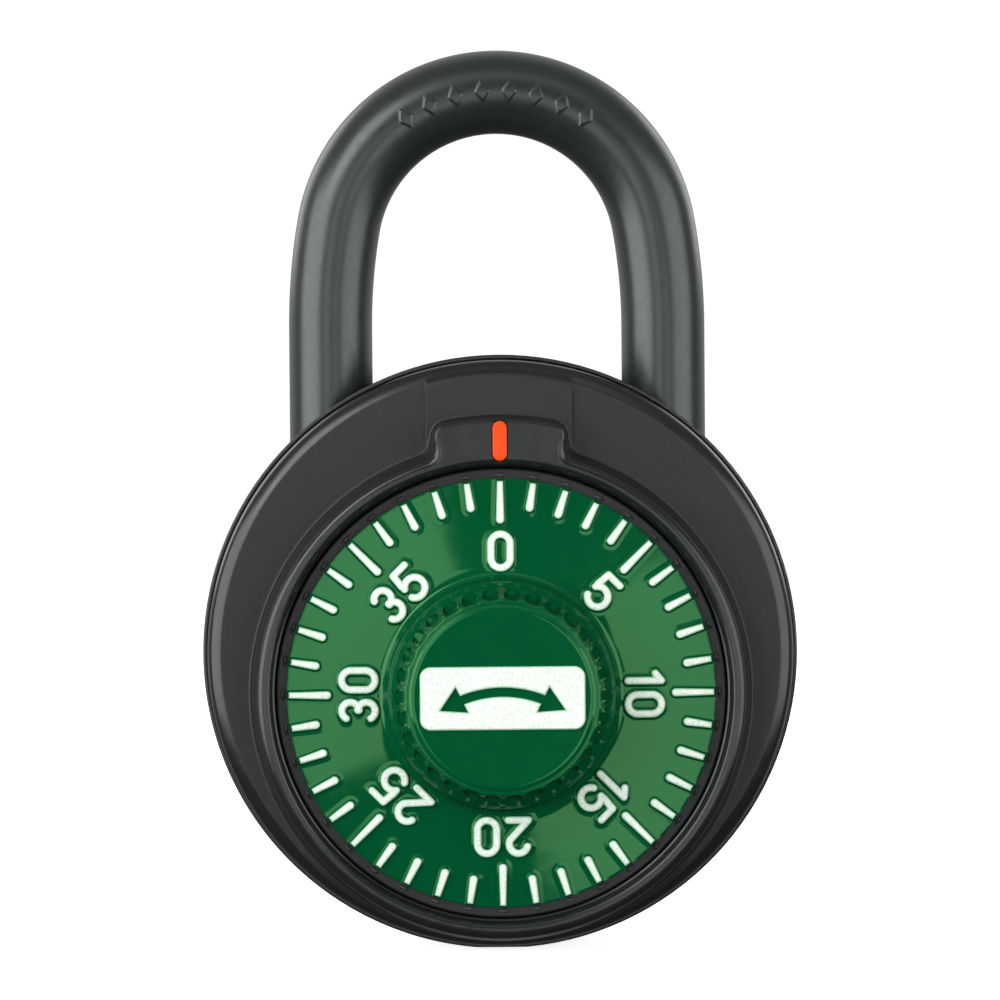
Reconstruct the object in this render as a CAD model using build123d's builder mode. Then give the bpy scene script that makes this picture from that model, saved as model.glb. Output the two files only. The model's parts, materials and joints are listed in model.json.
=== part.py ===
from build123d import *

import os
from math import cos, radians, sin, sqrt

# Combination dial padlock.
# +X is right and +Z is up as the dial is read. The dial faces -Y.
# The origin is the centre of the round back face, which lies in the plane Y = 0.
# A depth is a distance in front of the back face, towards the dial.

os.makedirs("parts", exist_ok=True)

# ---- Driving dimensions, millimetres ----

# Case
case_radius = 25.0
case_wall = 1.0
case_back_round = 2.6
foot_half_width = 2.2
seat_depth = 13.2
lip_depth = 14.0
lip_thickness = 0.4
case_hole_gap = 0.05
cover_radius = 24.55
cover_gap = 0.05
cover_round = 1.7
cover_inside_radius = 22.6
cover_inside_depth = 15.4
face_depth = 17.0

# Dial, on an axis below the centre of the case
dial_drop = 3.2
dial_radius = 17.9
skirt_radius = 18.8
skirt_back = 17.5
skirt_front = 18.3
rim_depth = 18.9
cone_inner_radius = 10.0
cone_inner_depth = 19.6
knob_foot_radius = 9.5
knob_foot_depth = 20.1
knob_waist_radius = 9.3
knob_waist_depth = 21.8
knob_grip_radius = 8.85
knob_grip_depth = 22.3
knob_shoulder_radius = 8.3
knob_shoulder_depth = 24.8
knob_top_radius = 7.9
knob_disc_radius = 7.3
knob_disc_raise = 0.15
knob_depth = 25.2
flute_count = 30
flute_radius = 0.5
flute_circle = 8.8
nub_count = 40
nub_radius = 0.22
nub_height = 0.4
print_height = 0.28

# Collar and index tab on the front cover
collar_inner_radius = 19.1
collar_outer_radius = 20.85
collar_depth = 20.0
tab_radius = 23.1
tab_half_top = 5.5
tab_half_foot = 6.0
panel_half_width = 6.15
panel_height = 0.28
mark_width = 1.2
mark_inner = 19.15
mark_outer = 22.7

# Shackle
shackle_radius = 3.55
leg_x = 14.15
leg_depth = 7.6
bow_start_z = 27.4
bow_side_radius = 50.0
bow_side_angle = 10.0
heel_end_z = -9.0
toe_end_z = 10.4
neck_radius = 2.6
neck_low_z = -6.5
neck_high_z = 8.0
notch_low_z = 12.55
notch_high_z = 18.5
notch_depth = 1.5

# Inner frame
frame_radius = 23.9
frame_front = 12.6
chamber_back = 2.6
chamber_radius = 9.9
leg_bore_radius = 3.65
spring_floor_z = -15.8
plate_thickness = 1.0
plate_radius = 22.2

# Wheel pack
wheel_radius = 9.4
wheel_thickness = 1.2
post_radius = 2.0
wheel_bore_radius = 2.06
rear_wheel_back = 3.25
middle_wheel_back = 5.45
cam_wheel_back = 8.9
peg_circle = 6.6
peg_radius = 0.7
gate_width = 1.9
gate_cut = 2.2
false_gate_cut = 0.4

# Spindle
spindle_radius = 2.5
spindle_tip_radius = 1.6

# Latch and lever
latch_low_z = 12.7
latch_high_z = 18.3
latch_back = 5.2
latch_front = 12.5
nose_front = 10.0
latch_left_x = 0.5
latch_right_x = 9.9
nose_reach = 1.4
latch_ratio = 0.3
pivot_x = -6.5
pivot_z = 10.2
pivot_radius = 1.0
fence_radius = 0.8
fence_gap = 0.35
fence_angle = 80.0

# ---- Worked out from them ----

crown_radius = (leg_x - bow_side_radius * (1 - cos(radians(bow_side_angle)))) / cos(
    radians(bow_side_angle)
)
crown_z = (
    bow_start_z
    + bow_side_radius * sin(radians(bow_side_angle))
    - crown_radius * sin(radians(bow_side_angle))
)
leg_inner_x = leg_x - shackle_radius
peg_step = 12.8
fence_circle = wheel_radius + fence_gap + fence_radius
fence_x = fence_circle * cos(radians(fence_angle))
fence_z = fence_circle * sin(radians(fence_angle)) - dial_drop
plate_front = frame_front + plate_thickness

dial_axis = Axis((0, 0, -dial_drop), (0, -1, 0))

# In a section plane, x is the distance from the axis and y is the depth.
dial_section = Plane(origin=(0, 0, -dial_drop), x_dir=(1, 0, 0), z_dir=(0, 0, -1))


def dial_plane(depth):
    """The plane square to the dial axis at a depth, with its origin on that axis."""
    return Plane(origin=(0, -depth, -dial_drop), x_dir=(1, 0, 0), z_dir=(0, -1, 0))


def leg_plane(height):
    """The level plane at a height, with x to the right and y to the back."""
    return Plane(origin=(0, -leg_depth, height), x_dir=(1, 0, 0), z_dir=(0, 0, 1))


def polar_point(radius, angle):
    """A point on a circle about the dial axis, anticlockwise from +X."""
    return (radius * cos(radians(angle)), radius * sin(radians(angle)))


# ---- Rear case: a drawn steel cup, open towards the dial ----

foot_level = sqrt(case_radius**2 - foot_half_width**2)

with BuildPart() as rear_case:
    with BuildSketch(Plane.XZ):
        Circle(case_radius)
    extrude(amount=lip_depth)
    fillet(rear_case.edges().sort_by(Axis.Y)[-1], case_back_round)
    with BuildSketch(Plane.XZ.offset(case_wall)):
        Circle(case_radius - case_wall)
    extrude(amount=lip_depth, mode=Mode.SUBTRACT)
    floor_edges = rear_case.edges().filter_by(GeomType.CIRCLE).filter_by_position(
        Axis.Y, -case_wall, -case_wall
    )
    fillet(floor_edges, case_back_round - case_wall)
    with BuildSketch(Plane.XZ.offset(seat_depth)):
        Circle(case_radius - lip_thickness)
    extrude(amount=lip_depth, mode=Mode.SUBTRACT)
    fillet(rear_case.edges().sort_by(Axis.Y)[0:2], lip_thickness * 0.4)
    with BuildSketch(leg_plane(0)):
        with Locations((-leg_x, 0), (leg_x, 0)):
            Circle(leg_bore_radius + case_hole_gap)
    extrude(amount=case_radius, mode=Mode.SUBTRACT)
    # A narrow flat at the foot, a tenth of a millimetre deep, lets the round case stand.
    with BuildSketch(Plane.XZ):
        with Locations((0, -case_radius)):
            Rectangle(4 * foot_half_width, 2 * (case_radius - foot_level))
    extrude(amount=lip_depth, mode=Mode.SUBTRACT)

rear_case.part.label = "rear_case"
export_step(rear_case.part, "parts/rear_case.step")


# ---- Front cover: moulded face with the collar, the index tab and a raised panel ----

rivet_circle = 15.8
rivet_angles = (-65, -115, 0)
rivet_head_radius = 1.8
rivet_radius = 1.1
rivet_reach = 4.0
rivet_places = [polar_point(rivet_circle, angle) for angle in rivet_angles]
bush_radius = 3.6
mark_pocket_depth = 19.4
mark_proud = 0.06
cover_back = seat_depth + cover_gap

# The panel repeats the rounded rim and the face a little further forward.
panel_back = cover_back + 0.5
panel_low_z = 15.0
panel_bend_z = 22.2
panel_lean = 0.7
panel_corner = 0.4

with BuildPart() as raised_panel:
    with BuildSketch(Plane.XZ.offset(panel_back)):
        Circle(cover_radius)
    extrude(amount=face_depth + panel_height - panel_back)
    fillet(raised_panel.edges().sort_by(Axis.Y)[0], cover_round)
    with BuildSketch(Plane.XZ.offset(cover_back)):
        with BuildLine():
            FilletPolyline(
                (-panel_half_width, panel_low_z),
                (-panel_half_width, panel_bend_z),
                (panel_lean - panel_half_width, case_radius),
                (panel_half_width - panel_lean, case_radius),
                (panel_half_width, panel_bend_z),
                (panel_half_width, panel_low_z),
                radius=panel_corner,
            )
            Line((panel_half_width, panel_low_z), (-panel_half_width, panel_low_z))
        make_face()
    extrude(amount=face_depth, mode=Mode.INTERSECT)

# The index tab stands level with the top of the collar.
tab_back = face_depth - 0.4
tab_corner = 1.0
tab_edge_round = 0.45

with BuildPart() as index_tab:
    with BuildSketch(dial_plane(tab_back)):
        with BuildLine():
            Polyline(
                (tab_half_top, tab_radius),
                (tab_half_foot, collar_inner_radius),
                (-tab_half_foot, collar_inner_radius),
                (-tab_half_top, tab_radius),
                close=True,
            )
        make_face()
        Circle(tab_radius, mode=Mode.INTERSECT)
        Circle(collar_inner_radius + tab_edge_round, mode=Mode.SUBTRACT)
    extrude(amount=collar_depth - tab_back)
    fillet(index_tab.edges().filter_by(Axis.Y).group_by(Axis.Z)[-1], tab_corner)
    tab_top = index_tab.faces().sort_by(Axis.Y)[0]
    fillet(tab_top.edges().group_by(Axis.Z)[-1], tab_edge_round)

# The collar stands around the dial, its outer side rounded over and its inner side upright.
collar_edge_round = 0.3
collar_flank = 0.4
collar_shoulder = 0.8
collar_shoulder_round = 0.85
collar_crest_outer = collar_outer_radius - 1.15
collar_crest_inner = collar_inner_radius + collar_edge_round
collar_flank_radius = collar_outer_radius - collar_flank

with BuildPart() as front_cover:
    with BuildSketch(Plane.XZ.offset(cover_back)):
        Circle(cover_radius)
    extrude(amount=face_depth - cover_back)
    fillet(front_cover.edges().sort_by(Axis.Y)[0], cover_round)
    add(raised_panel.part)
    with BuildSketch(dial_section):
        with BuildLine():
            Polyline(
                (collar_inner_radius, collar_depth - collar_edge_round),
                (collar_inner_radius, cover_inside_depth),
                (collar_outer_radius, cover_inside_depth),
                (collar_outer_radius, face_depth + collar_edge_round),
                (collar_flank_radius, collar_depth - collar_shoulder),
            )
            RadiusArc(
                (collar_flank_radius, collar_depth - collar_shoulder),
                (collar_crest_outer, collar_depth),
                -collar_shoulder_round,
            )
            Line((collar_crest_outer, collar_depth), (collar_crest_inner, collar_depth))
            RadiusArc(
                (collar_crest_inner, collar_depth),
                (collar_inner_radius, collar_depth - collar_edge_round),
                -collar_edge_round,
            )
        make_face()
    revolve(axis=dial_axis)
    add(index_tab.part)

    # Hollow behind the face, pocket for the index mark, holes for the bush and rivets
    with BuildSketch(Plane.XZ.offset(cover_back)):
        Circle(cover_inside_radius)
    extrude(amount=cover_inside_depth - cover_back, mode=Mode.SUBTRACT)
    with BuildSketch(dial_plane(mark_pocket_depth)):
        with Locations((0, (mark_inner + mark_outer) / 2)):
            SlotOverall(mark_outer - mark_inner, mark_width, rotation=90)
    extrude(amount=collar_depth - mark_pocket_depth, mode=Mode.SUBTRACT)
    with Locations(dial_plane(face_depth)):
        Hole(bush_radius, depth=face_depth - cover_inside_depth)
        with Locations(*rivet_places):
            CounterSinkHole(rivet_radius, rivet_head_radius, depth=rivet_reach)

front_cover.part.label = "front_cover"
export_step(front_cover.part, "parts/front_cover.step")


# ---- Index mark: orange insert across the tab ----

with BuildPart() as index_mark:
    with BuildSketch(dial_plane(mark_pocket_depth)):
        with Locations((0, (mark_inner + mark_outer) / 2)):
            SlotOverall(mark_outer - mark_inner, mark_width, rotation=90)
    extrude(amount=collar_depth + mark_proud - mark_pocket_depth)

index_mark.part.label = "index_mark"
export_step(index_mark.part, "parts/index_mark.step")


# ---- Inner frame: die-cast block that guides the shackle, the latch and the wheels ----

retainer_low_z = 6.4
retainer_high_z = 7.6
retainer_back = 4.3
retainer_width = 6.7
retainer_gap = 0.05
channel_left_x = -7.0
channel_gap = 0.1
lever_room_left_x = -9.9
lever_room_right_x = 5.2
lever_room_low_z = 5.0
lever_room_high_z = 12.6
lever_room_back = 3.0
lever_pin_back = 1.8
plate_screw_circle = 20.3
plate_screw_angles = (15, 190, 270)
plate_screw_radius = 0.8
plate_screw_hole = 4.0
plate_screw_places = [
    (plate_screw_circle * cos(radians(angle)), plate_screw_circle * sin(radians(angle)))
    for angle in plate_screw_angles
]
rivet_tail_depth = frame_front - 5
frame_chamfer = 1.6
toe_floor_gap = 0.4


def channel_outline(right_x):
    """Outline of the latch channel up to its right end."""
    low_z = latch_low_z - channel_gap
    high_z = latch_high_z + channel_gap
    return Polyline(
        (channel_left_x, low_z),
        (right_x, low_z),
        (right_x, high_z),
        (channel_left_x, high_z),
        close=True,
    )


with BuildPart() as inner_frame:
    with BuildSketch(Plane.XZ.offset(case_wall)):
        Circle(frame_radius)
    extrude(amount=frame_front - case_wall)
    chamfer(inner_frame.edges().sort_by(Axis.Y)[-1], frame_chamfer)
    with BuildSketch(dial_plane(chamber_back)):
        Circle(chamber_radius)
    extrude(amount=frame_front, mode=Mode.SUBTRACT)
    with BuildSketch(leg_plane(spring_floor_z)):
        with Locations((-leg_x, 0)):
            Circle(leg_bore_radius)
    extrude(amount=case_radius - spring_floor_z, mode=Mode.SUBTRACT)
    with BuildSketch(leg_plane(toe_end_z - toe_floor_gap)):
        with Locations((leg_x, 0)):
            Circle(leg_bore_radius)
    extrude(amount=case_radius - toe_end_z, mode=Mode.SUBTRACT)

    # Latch channel, lever room and the slot for the heel retainer
    with BuildSketch(Plane.XZ.offset(latch_back - channel_gap)):
        with BuildLine():
            channel_outline(leg_x)
        make_face()
    extrude(amount=nose_front + 2 * channel_gap - latch_back, mode=Mode.SUBTRACT)
    with BuildSketch(Plane.XZ.offset(latch_back - channel_gap)):
        with BuildLine():
            channel_outline(latch_right_x + channel_gap)
        make_face()
    extrude(amount=frame_front, mode=Mode.SUBTRACT)
    with BuildSketch(Plane.XZ.offset(lever_room_back)):
        with Locations(
            (
                (lever_room_left_x + lever_room_right_x) / 2,
                (lever_room_low_z + lever_room_high_z) / 2,
            )
        ):
            Rectangle(
                lever_room_right_x - lever_room_left_x, lever_room_high_z - lever_room_low_z
            )
    extrude(amount=frame_front, mode=Mode.SUBTRACT)
    with BuildSketch(Plane.XZ.offset(retainer_back - retainer_gap)):
        with Locations((-leg_x, (retainer_low_z + retainer_high_z) / 2)):
            Rectangle(retainer_width + 2 * retainer_gap, retainer_high_z - retainer_low_z)
    extrude(amount=frame_front, mode=Mode.SUBTRACT)

    # Holes for the wheel post, the lever pin, the plate screws and the cover rivets
    with BuildSketch(dial_plane(case_wall)):
        Circle(spindle_tip_radius)
    extrude(amount=chamber_back, mode=Mode.SUBTRACT)
    with BuildSketch(Plane.XZ.offset(lever_pin_back)):
        with Locations((pivot_x, pivot_z)):
            Circle(pivot_radius)
    extrude(amount=frame_front, mode=Mode.SUBTRACT)
    with BuildSketch(Plane.XZ.offset(frame_front - plate_screw_hole)):
        with Locations(*plate_screw_places):
            Circle(plate_screw_radius)
    extrude(amount=plate_screw_hole, mode=Mode.SUBTRACT)
    with BuildSketch(dial_plane(rivet_tail_depth)):
        with Locations(*rivet_places):
            Circle(rivet_radius)
    extrude(amount=frame_front - rivet_tail_depth, mode=Mode.SUBTRACT)

inner_frame.part.label = "inner_frame"
export_step(inner_frame.part, "parts/inner_frame.step")


# ---- Frame plate: closes the mechanism towards the cover ----

spindle_plate_gap = 1.0

with BuildPart() as frame_plate:
    with BuildSketch(Plane.XZ.offset(frame_front)):
        Circle(plate_radius)
        with Locations(*plate_screw_places):
            Circle(plate_screw_radius, mode=Mode.SUBTRACT)
        with Locations((pivot_x, pivot_z)):
            Circle(pivot_radius, mode=Mode.SUBTRACT)
    extrude(amount=plate_thickness)
    with BuildSketch(dial_plane(frame_front)):
        Circle(spindle_radius + spindle_plate_gap)
        with Locations(*rivet_places):
            Circle(rivet_radius)
    extrude(amount=plate_thickness, mode=Mode.SUBTRACT)

frame_plate.part.label = "frame_plate"
export_step(frame_plate.part, "parts/frame_plate.step")


# ---- Plate screws: three pan heads with a slot ----

screw_shank = 3.6
screw_head_radius = 1.6
screw_head_height = 0.9
screw_slot_width = 0.4
screw_slot_floor = 0.5

with BuildPart() as plate_screws:
    for place in plate_screw_places:
        with BuildSketch(Plane.XZ.offset(frame_front - screw_shank)):
            with Locations(place):
                Circle(plate_screw_radius)
        extrude(amount=screw_shank + plate_thickness)
        with BuildSketch(Plane.XZ.offset(plate_front)):
            with Locations(place):
                Circle(screw_head_radius)
        extrude(amount=screw_head_height)
        with BuildSketch(Plane.XZ.offset(plate_front + screw_slot_floor)):
            with Locations(place):
                Rectangle(3 * screw_head_radius, screw_slot_width)
        extrude(amount=screw_head_height, mode=Mode.SUBTRACT)

plate_screws.part.label = "plate_screws"
export_step(plate_screws.part, "parts/plate_screws.step")


# ---- Cover rivets: countersunk heads hidden under the dial ----

rivet_head_height = rivet_head_radius - rivet_radius

with BuildPart() as cover_rivets:
    for place in rivet_places:
        with BuildSketch(dial_plane(rivet_tail_depth)):
            with Locations(place):
                Circle(rivet_radius)
        extrude(amount=face_depth - rivet_tail_depth)
        with BuildSketch(dial_plane(face_depth - rivet_head_height)):
            with Locations(place):
                Circle(rivet_radius)
        extrude(amount=rivet_head_height, taper=-45)

cover_rivets.part.label = "cover_rivets"
export_step(cover_rivets.part, "parts/cover_rivets.step")


# ---- Shackle: hardened bow, long heel leg with a neck, short toe leg with a notch ----

lozenge_count = 8
lozenge_pitch = 9.7
lozenge_first_angle = 37.0
lozenge_tall = 1.9
lozenge_wide = 1.25
lozenge_proud = 0.1
lozenge_root = 0.6
leg_end_chamfer = 0.7

with BuildPart() as shackle:
    with BuildLine(Plane.XZ.offset(leg_depth)):
        heel_line = Line((-leg_x, heel_end_z), (-leg_x, bow_start_z))
        heel_side = JernArc(heel_line @ 1, heel_line % 1, bow_side_radius, -bow_side_angle)
        crown = JernArc(
            heel_side @ 1, heel_side % 1, crown_radius, 2 * bow_side_angle - 180
        )
        toe_side = JernArc(crown @ 1, crown % 1, bow_side_radius, -bow_side_angle)
        Line(toe_side @ 1, (leg_x, toe_end_z))
    with BuildSketch(leg_plane(heel_end_z)):
        with Locations((-leg_x, 0)):
            Circle(shackle_radius)
    sweep()
    chamfer(shackle.faces().filter_by(GeomType.PLANE).edges(), leg_end_chamfer)
    with BuildSketch(leg_plane(neck_low_z)):
        with Locations((-leg_x, 0)):
            Circle(shackle_radius + 1)
            Circle(neck_radius, mode=Mode.SUBTRACT)
    extrude(amount=neck_high_z - neck_low_z, mode=Mode.SUBTRACT)
    with BuildSketch(Plane.XZ.offset(leg_depth - leg_bore_radius)):
        with Locations((leg_inner_x, (notch_low_z + notch_high_z) / 2)):
            Rectangle(2 * notch_depth, notch_high_z - notch_low_z)
    extrude(amount=2 * leg_bore_radius, mode=Mode.SUBTRACT)

    # A row of plain raised lozenges around the front of the crown
    with BuildSketch(Plane.XZ.offset(leg_depth + shackle_radius - lozenge_root)):
        for index in range(lozenge_count):
            turn = lozenge_first_angle - index * lozenge_pitch
            lozenge_x = -crown_radius * sin(radians(turn))
            lozenge_z = crown_z + crown_radius * cos(radians(turn))
            with Locations(Location((lozenge_x, lozenge_z, 0), (0, 0, turn))):
                Polygon(
                    (lozenge_wide / 2, 0),
                    (0, lozenge_tall / 2),
                    (-lozenge_wide / 2, 0),
                    (0, -lozenge_tall / 2),
                )
    extrude(amount=lozenge_root + lozenge_proud)

shackle.part.label = "shackle"
export_step(shackle.part, "parts/shackle.step")


# ---- Heel retainer: forked plate that holds the neck of the heel leg ----

retainer_front = frame_front - 2 * retainer_gap
fork_radius = neck_radius + 0.1

with BuildPart() as heel_retainer:
    with BuildSketch(leg_plane(retainer_low_z + retainer_gap)):
        with Locations((-leg_x, leg_depth - (retainer_back + retainer_front) / 2)):
            Rectangle(retainer_width, retainer_front - retainer_back)
        with Locations((-leg_x, 0)):
            Circle(fork_radius, mode=Mode.SUBTRACT)
        with Locations((-leg_x, fork_radius)):
            Rectangle(2 * fork_radius, 2 * fork_radius, mode=Mode.SUBTRACT)
    extrude(amount=retainer_high_z - retainer_low_z - 2 * retainer_gap)

heel_retainer.part.label = "heel_retainer"
export_step(heel_retainer.part, "parts/heel_retainer.step")


# ---- Shackle spring: lifts the shackle when the latch lets go ----

spring_wire = 0.32
spring_end_gap = spring_wire + 0.05
heel_spring_radius = 2.6
heel_spring_turns = 5
heel_spring_start = spring_floor_z + spring_end_gap
heel_spring_length = heel_end_z - spring_end_gap - heel_spring_start

with BuildPart() as shackle_spring:
    with BuildLine():
        heel_coil = Helix(
            heel_spring_length / heel_spring_turns,
            heel_spring_length,
            heel_spring_radius,
            center=(-leg_x, -leg_depth, heel_spring_start),
        )
    with BuildSketch(Plane(origin=heel_coil @ 0, z_dir=heel_coil % 0)):
        Circle(spring_wire)
    sweep(is_frenet=True)

shackle_spring.part.label = "shackle_spring"
export_step(shackle_spring.part, "parts/shackle_spring.step")


# ---- Latch: sliding bolt whose sloping nose holds the notch of the toe leg ----

window_left_x = 3.0
window_right_x = 8.6
window_high_z = 14.7
nose_tip_x = leg_inner_x + nose_reach

with BuildPart() as latch:
    with BuildSketch(Plane.XZ.offset(latch_back)):
        with BuildLine():
            Polyline(
                (latch_left_x, latch_low_z),
                (window_left_x, latch_low_z),
                (window_left_x, window_high_z),
                (window_right_x, window_high_z),
                (window_right_x, latch_low_z),
                (latch_right_x, latch_low_z),
                (latch_right_x, latch_high_z),
                (latch_left_x, latch_high_z),
                close=True,
            )
        make_face()
    extrude(amount=latch_front - latch_back)
    with BuildSketch(Plane.XZ.offset(latch_back)):
        with BuildLine():
            Polyline(
                (latch_right_x, latch_low_z),
                (leg_inner_x, latch_low_z),
                (nose_tip_x, latch_low_z + nose_reach / latch_ratio),
                (nose_tip_x, latch_high_z),
                (latch_right_x, latch_high_z),
                close=True,
            )
        make_face()
    extrude(amount=nose_front - latch_back)

latch.part.label = "latch"
export_step(latch.part, "parts/latch.step")


# ---- Latch spring ----

latch_spring_radius = 1.5
latch_spring_turns = 6
latch_spring_z = 15.5
latch_spring_depth = 8.8
latch_spring_start = channel_left_x + spring_end_gap
latch_spring_length = latch_left_x - spring_end_gap - latch_spring_start

with BuildPart() as latch_spring:
    with BuildLine():
        latch_coil = Helix(
            latch_spring_length / latch_spring_turns,
            latch_spring_length,
            latch_spring_radius,
            center=(latch_spring_start, -latch_spring_depth, latch_spring_z),
            direction=(1, 0, 0),
        )
    with BuildSketch(Plane(origin=latch_coil @ 0, z_dir=latch_coil % 0)):
        Circle(spring_wire)
    sweep(is_frenet=True)

latch_spring.part.label = "latch_spring"
export_step(latch_spring.part, "parts/latch_spring.step")


# ---- Lever: carries the fence over the wheels and a finger in the window of the latch ----

lever_back = 6.9
lever_thickness = 1.5
arm_end_x = 3.7
arm_end_z = 9.4
arm_width = 1.8
fence_arm_width = 2.4
tail_reach = 2.3
tail_width = 1.4
boss_radius = 2.0
finger_low_z = 8.7
finger_top_z = 14.2
finger_width = 1.0
pivot_gap = 0.05

with BuildPart() as lever:
    with BuildSketch(Plane.XZ.offset(lever_back)):
        with Locations((pivot_x, pivot_z)):
            Circle(boss_radius)
        SlotArc(Edge.make_line((pivot_x, pivot_z), (arm_end_x, arm_end_z)), arm_width)
        SlotArc(Edge.make_line((fence_x, arm_end_z), (fence_x, fence_z)), fence_arm_width)
        SlotArc(Edge.make_line((pivot_x, pivot_z), (pivot_x - tail_reach, pivot_z)), tail_width)
        with Locations((arm_end_x, (finger_low_z + finger_top_z) / 2)):
            Rectangle(finger_width, finger_top_z - finger_low_z)
        with Locations((pivot_x, pivot_z)):
            Circle(pivot_radius + pivot_gap, mode=Mode.SUBTRACT)
        with Locations((fence_x, fence_z)):
            Circle(fence_radius, mode=Mode.SUBTRACT)
    extrude(amount=lever_thickness)

lever.part.label = "lever"
export_step(lever.part, "parts/lever.step")


# ---- Fence: bar across the rims of the wheels, riveted in the lever ----

fence_back = 3.2
fence_front = 10.6
fence_chamfer = 0.15

with BuildPart() as fence:
    with BuildSketch(Plane.XZ.offset(fence_back)):
        with Locations((fence_x, fence_z)):
            Circle(fence_radius)
    extrude(amount=fence_front - fence_back)
    chamfer(fence.edges().group_by(Axis.Y)[-1], fence_chamfer)

fence.part.label = "fence"
export_step(fence.part, "parts/fence.step")


# ---- Lever pin: held in the frame and the plate ----

with BuildPart() as lever_pin:
    with BuildSketch(Plane.XZ.offset(lever_pin_back)):
        with Locations((pivot_x, pivot_z)):
            Circle(pivot_radius)
    extrude(amount=plate_front - lever_pin_back)

lever_pin.part.label = "lever_pin"
export_step(lever_pin.part, "parts/lever_pin.step")


# ---- Lever spring: a leaf that presses the tail of the lever down, fence up ----

leaf_thickness = 0.25
leaf_gap = 0.08
leaf_side_gap = 0.3
leaf_bend = 0.35
leaf_rise = 0.8
leaf_x = lever_room_left_x + leaf_thickness / 2
leaf_foot_z = lever_room_low_z + 1.0
tail_top_z = pivot_z + tail_width / 2

with BuildPart() as lever_spring:
    with BuildSketch(Plane.XZ.offset(lever_back - leaf_side_gap)):
        with BuildLine():
            FilletPolyline(
                (leaf_x, leaf_foot_z),
                (leaf_x, tail_top_z + leaf_rise),
                (pivot_x - tail_reach + 0.2, tail_top_z + leaf_gap + leaf_thickness / 2),
                radius=leaf_bend,
            )
            offset(amount=leaf_thickness / 2, kind=Kind.INTERSECTION)
        make_face()
    extrude(amount=lever_thickness + 2 * leaf_side_gap)

lever_spring.part.label = "lever_spring"
export_step(lever_spring.part, "parts/lever_spring.step")


# ---- Wheel post: riveted through the back of the frame ----

flange_radius = 3.2
flange_front = 3.2
clip_back = 7.55
clip_thickness = 0.5
clip_groove_radius = post_radius - 0.4
post_front = 8.4
post_chamfer = 0.25

with BuildPart() as wheel_post:
    with BuildSketch(dial_plane(case_wall)):
        Circle(spindle_tip_radius)
    extrude(amount=chamber_back - case_wall)
    with BuildSketch(dial_plane(chamber_back)):
        Circle(flange_radius)
    extrude(amount=flange_front - chamber_back)
    with BuildSketch(dial_plane(flange_front)):
        Circle(post_radius)
    extrude(amount=post_front - flange_front)
    chamfer(wheel_post.edges().sort_by(Axis.Y)[0], post_chamfer)
    with BuildSketch(dial_plane(clip_back)):
        Circle(flange_radius)
        Circle(clip_groove_radius, mode=Mode.SUBTRACT)
    extrude(amount=clip_thickness, mode=Mode.SUBTRACT)

wheel_post.part.label = "wheel_post"
export_step(wheel_post.part, "parts/wheel_post.step")


# ---- Wheels: each has one true gate and shallow false gates around its rim ----

false_gate_count = 12
false_gate_width = gate_width * 0.6
lightening_count = 5
lightening_circle = 4.6
lightening_radius = 0.9
rear_gate_angle = 40.0
middle_gate_angle = 295.0
cam_gate_angle = 165.0
rear_peg_angle = 250.0
middle_peg_angle = rear_peg_angle + peg_step
cam_peg_angle = middle_peg_angle + peg_step


def wheel_face(back, bore_radius, gate_angle, peg_angle):
    """Outline of one wheel on the plane of its back face."""
    with BuildSketch(dial_plane(back)) as face:
        Circle(wheel_radius)
        Circle(bore_radius, mode=Mode.SUBTRACT)
        with PolarLocations(wheel_radius, false_gate_count, gate_angle):
            Rectangle(2 * false_gate_cut, false_gate_width, mode=Mode.SUBTRACT)
        with PolarLocations(wheel_radius, 1, gate_angle):
            Rectangle(2 * gate_cut, gate_width, mode=Mode.SUBTRACT)
        with PolarLocations(lightening_circle, lightening_count, peg_angle + 180 / lightening_count):
            Circle(lightening_radius, mode=Mode.SUBTRACT)
        with PolarLocations(peg_circle, 1, peg_angle):
            Circle(peg_radius, mode=Mode.SUBTRACT)
    return face.sketch


with BuildPart() as rear_wheel:
    extrude(
        wheel_face(rear_wheel_back, wheel_bore_radius, rear_gate_angle, rear_peg_angle),
        wheel_thickness,
    )

rear_wheel.part.label = "rear_wheel"
export_step(rear_wheel.part, "parts/rear_wheel.step")

with BuildPart() as middle_wheel:
    extrude(
        wheel_face(middle_wheel_back, wheel_bore_radius, middle_gate_angle, middle_peg_angle),
        wheel_thickness,
    )

middle_wheel.part.label = "middle_wheel"
export_step(middle_wheel.part, "parts/middle_wheel.step")

with BuildPart() as cam_wheel:
    extrude(
        wheel_face(cam_wheel_back, spindle_tip_radius, cam_gate_angle, cam_peg_angle),
        wheel_thickness,
    )

cam_wheel.part.label = "cam_wheel"
export_step(cam_wheel.part, "parts/cam_wheel.step")


# ---- Drive pegs: each wheel picks the next one up by a peg ----

rear_peg_front = 5.1
middle_peg_back = 4.75
middle_peg_front = 8.1
cam_peg_back = 7.3


def peg_disc(back, angle):
    """Cross-section of a drive peg at a depth."""
    with BuildSketch(dial_plane(back)) as face:
        with Locations(polar_point(peg_circle, angle)):
            Circle(peg_radius)
    return face.sketch


with BuildPart() as rear_peg:
    extrude(peg_disc(rear_wheel_back, rear_peg_angle), rear_peg_front - rear_wheel_back)

rear_peg.part.label = "rear_peg"
export_step(rear_peg.part, "parts/rear_peg.step")

with BuildPart() as middle_peg:
    extrude(peg_disc(middle_peg_back, middle_peg_angle), middle_peg_front - middle_peg_back)

middle_peg.part.label = "middle_peg"
export_step(middle_peg.part, "parts/middle_peg.step")

with BuildPart() as cam_peg:
    extrude(
        peg_disc(cam_peg_back, cam_peg_angle),
        cam_wheel_back + wheel_thickness - cam_peg_back,
    )

cam_peg.part.label = "cam_peg"
export_step(cam_peg.part, "parts/cam_peg.step")


# ---- Spacer, wheel spring and clip on the post ----

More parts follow.
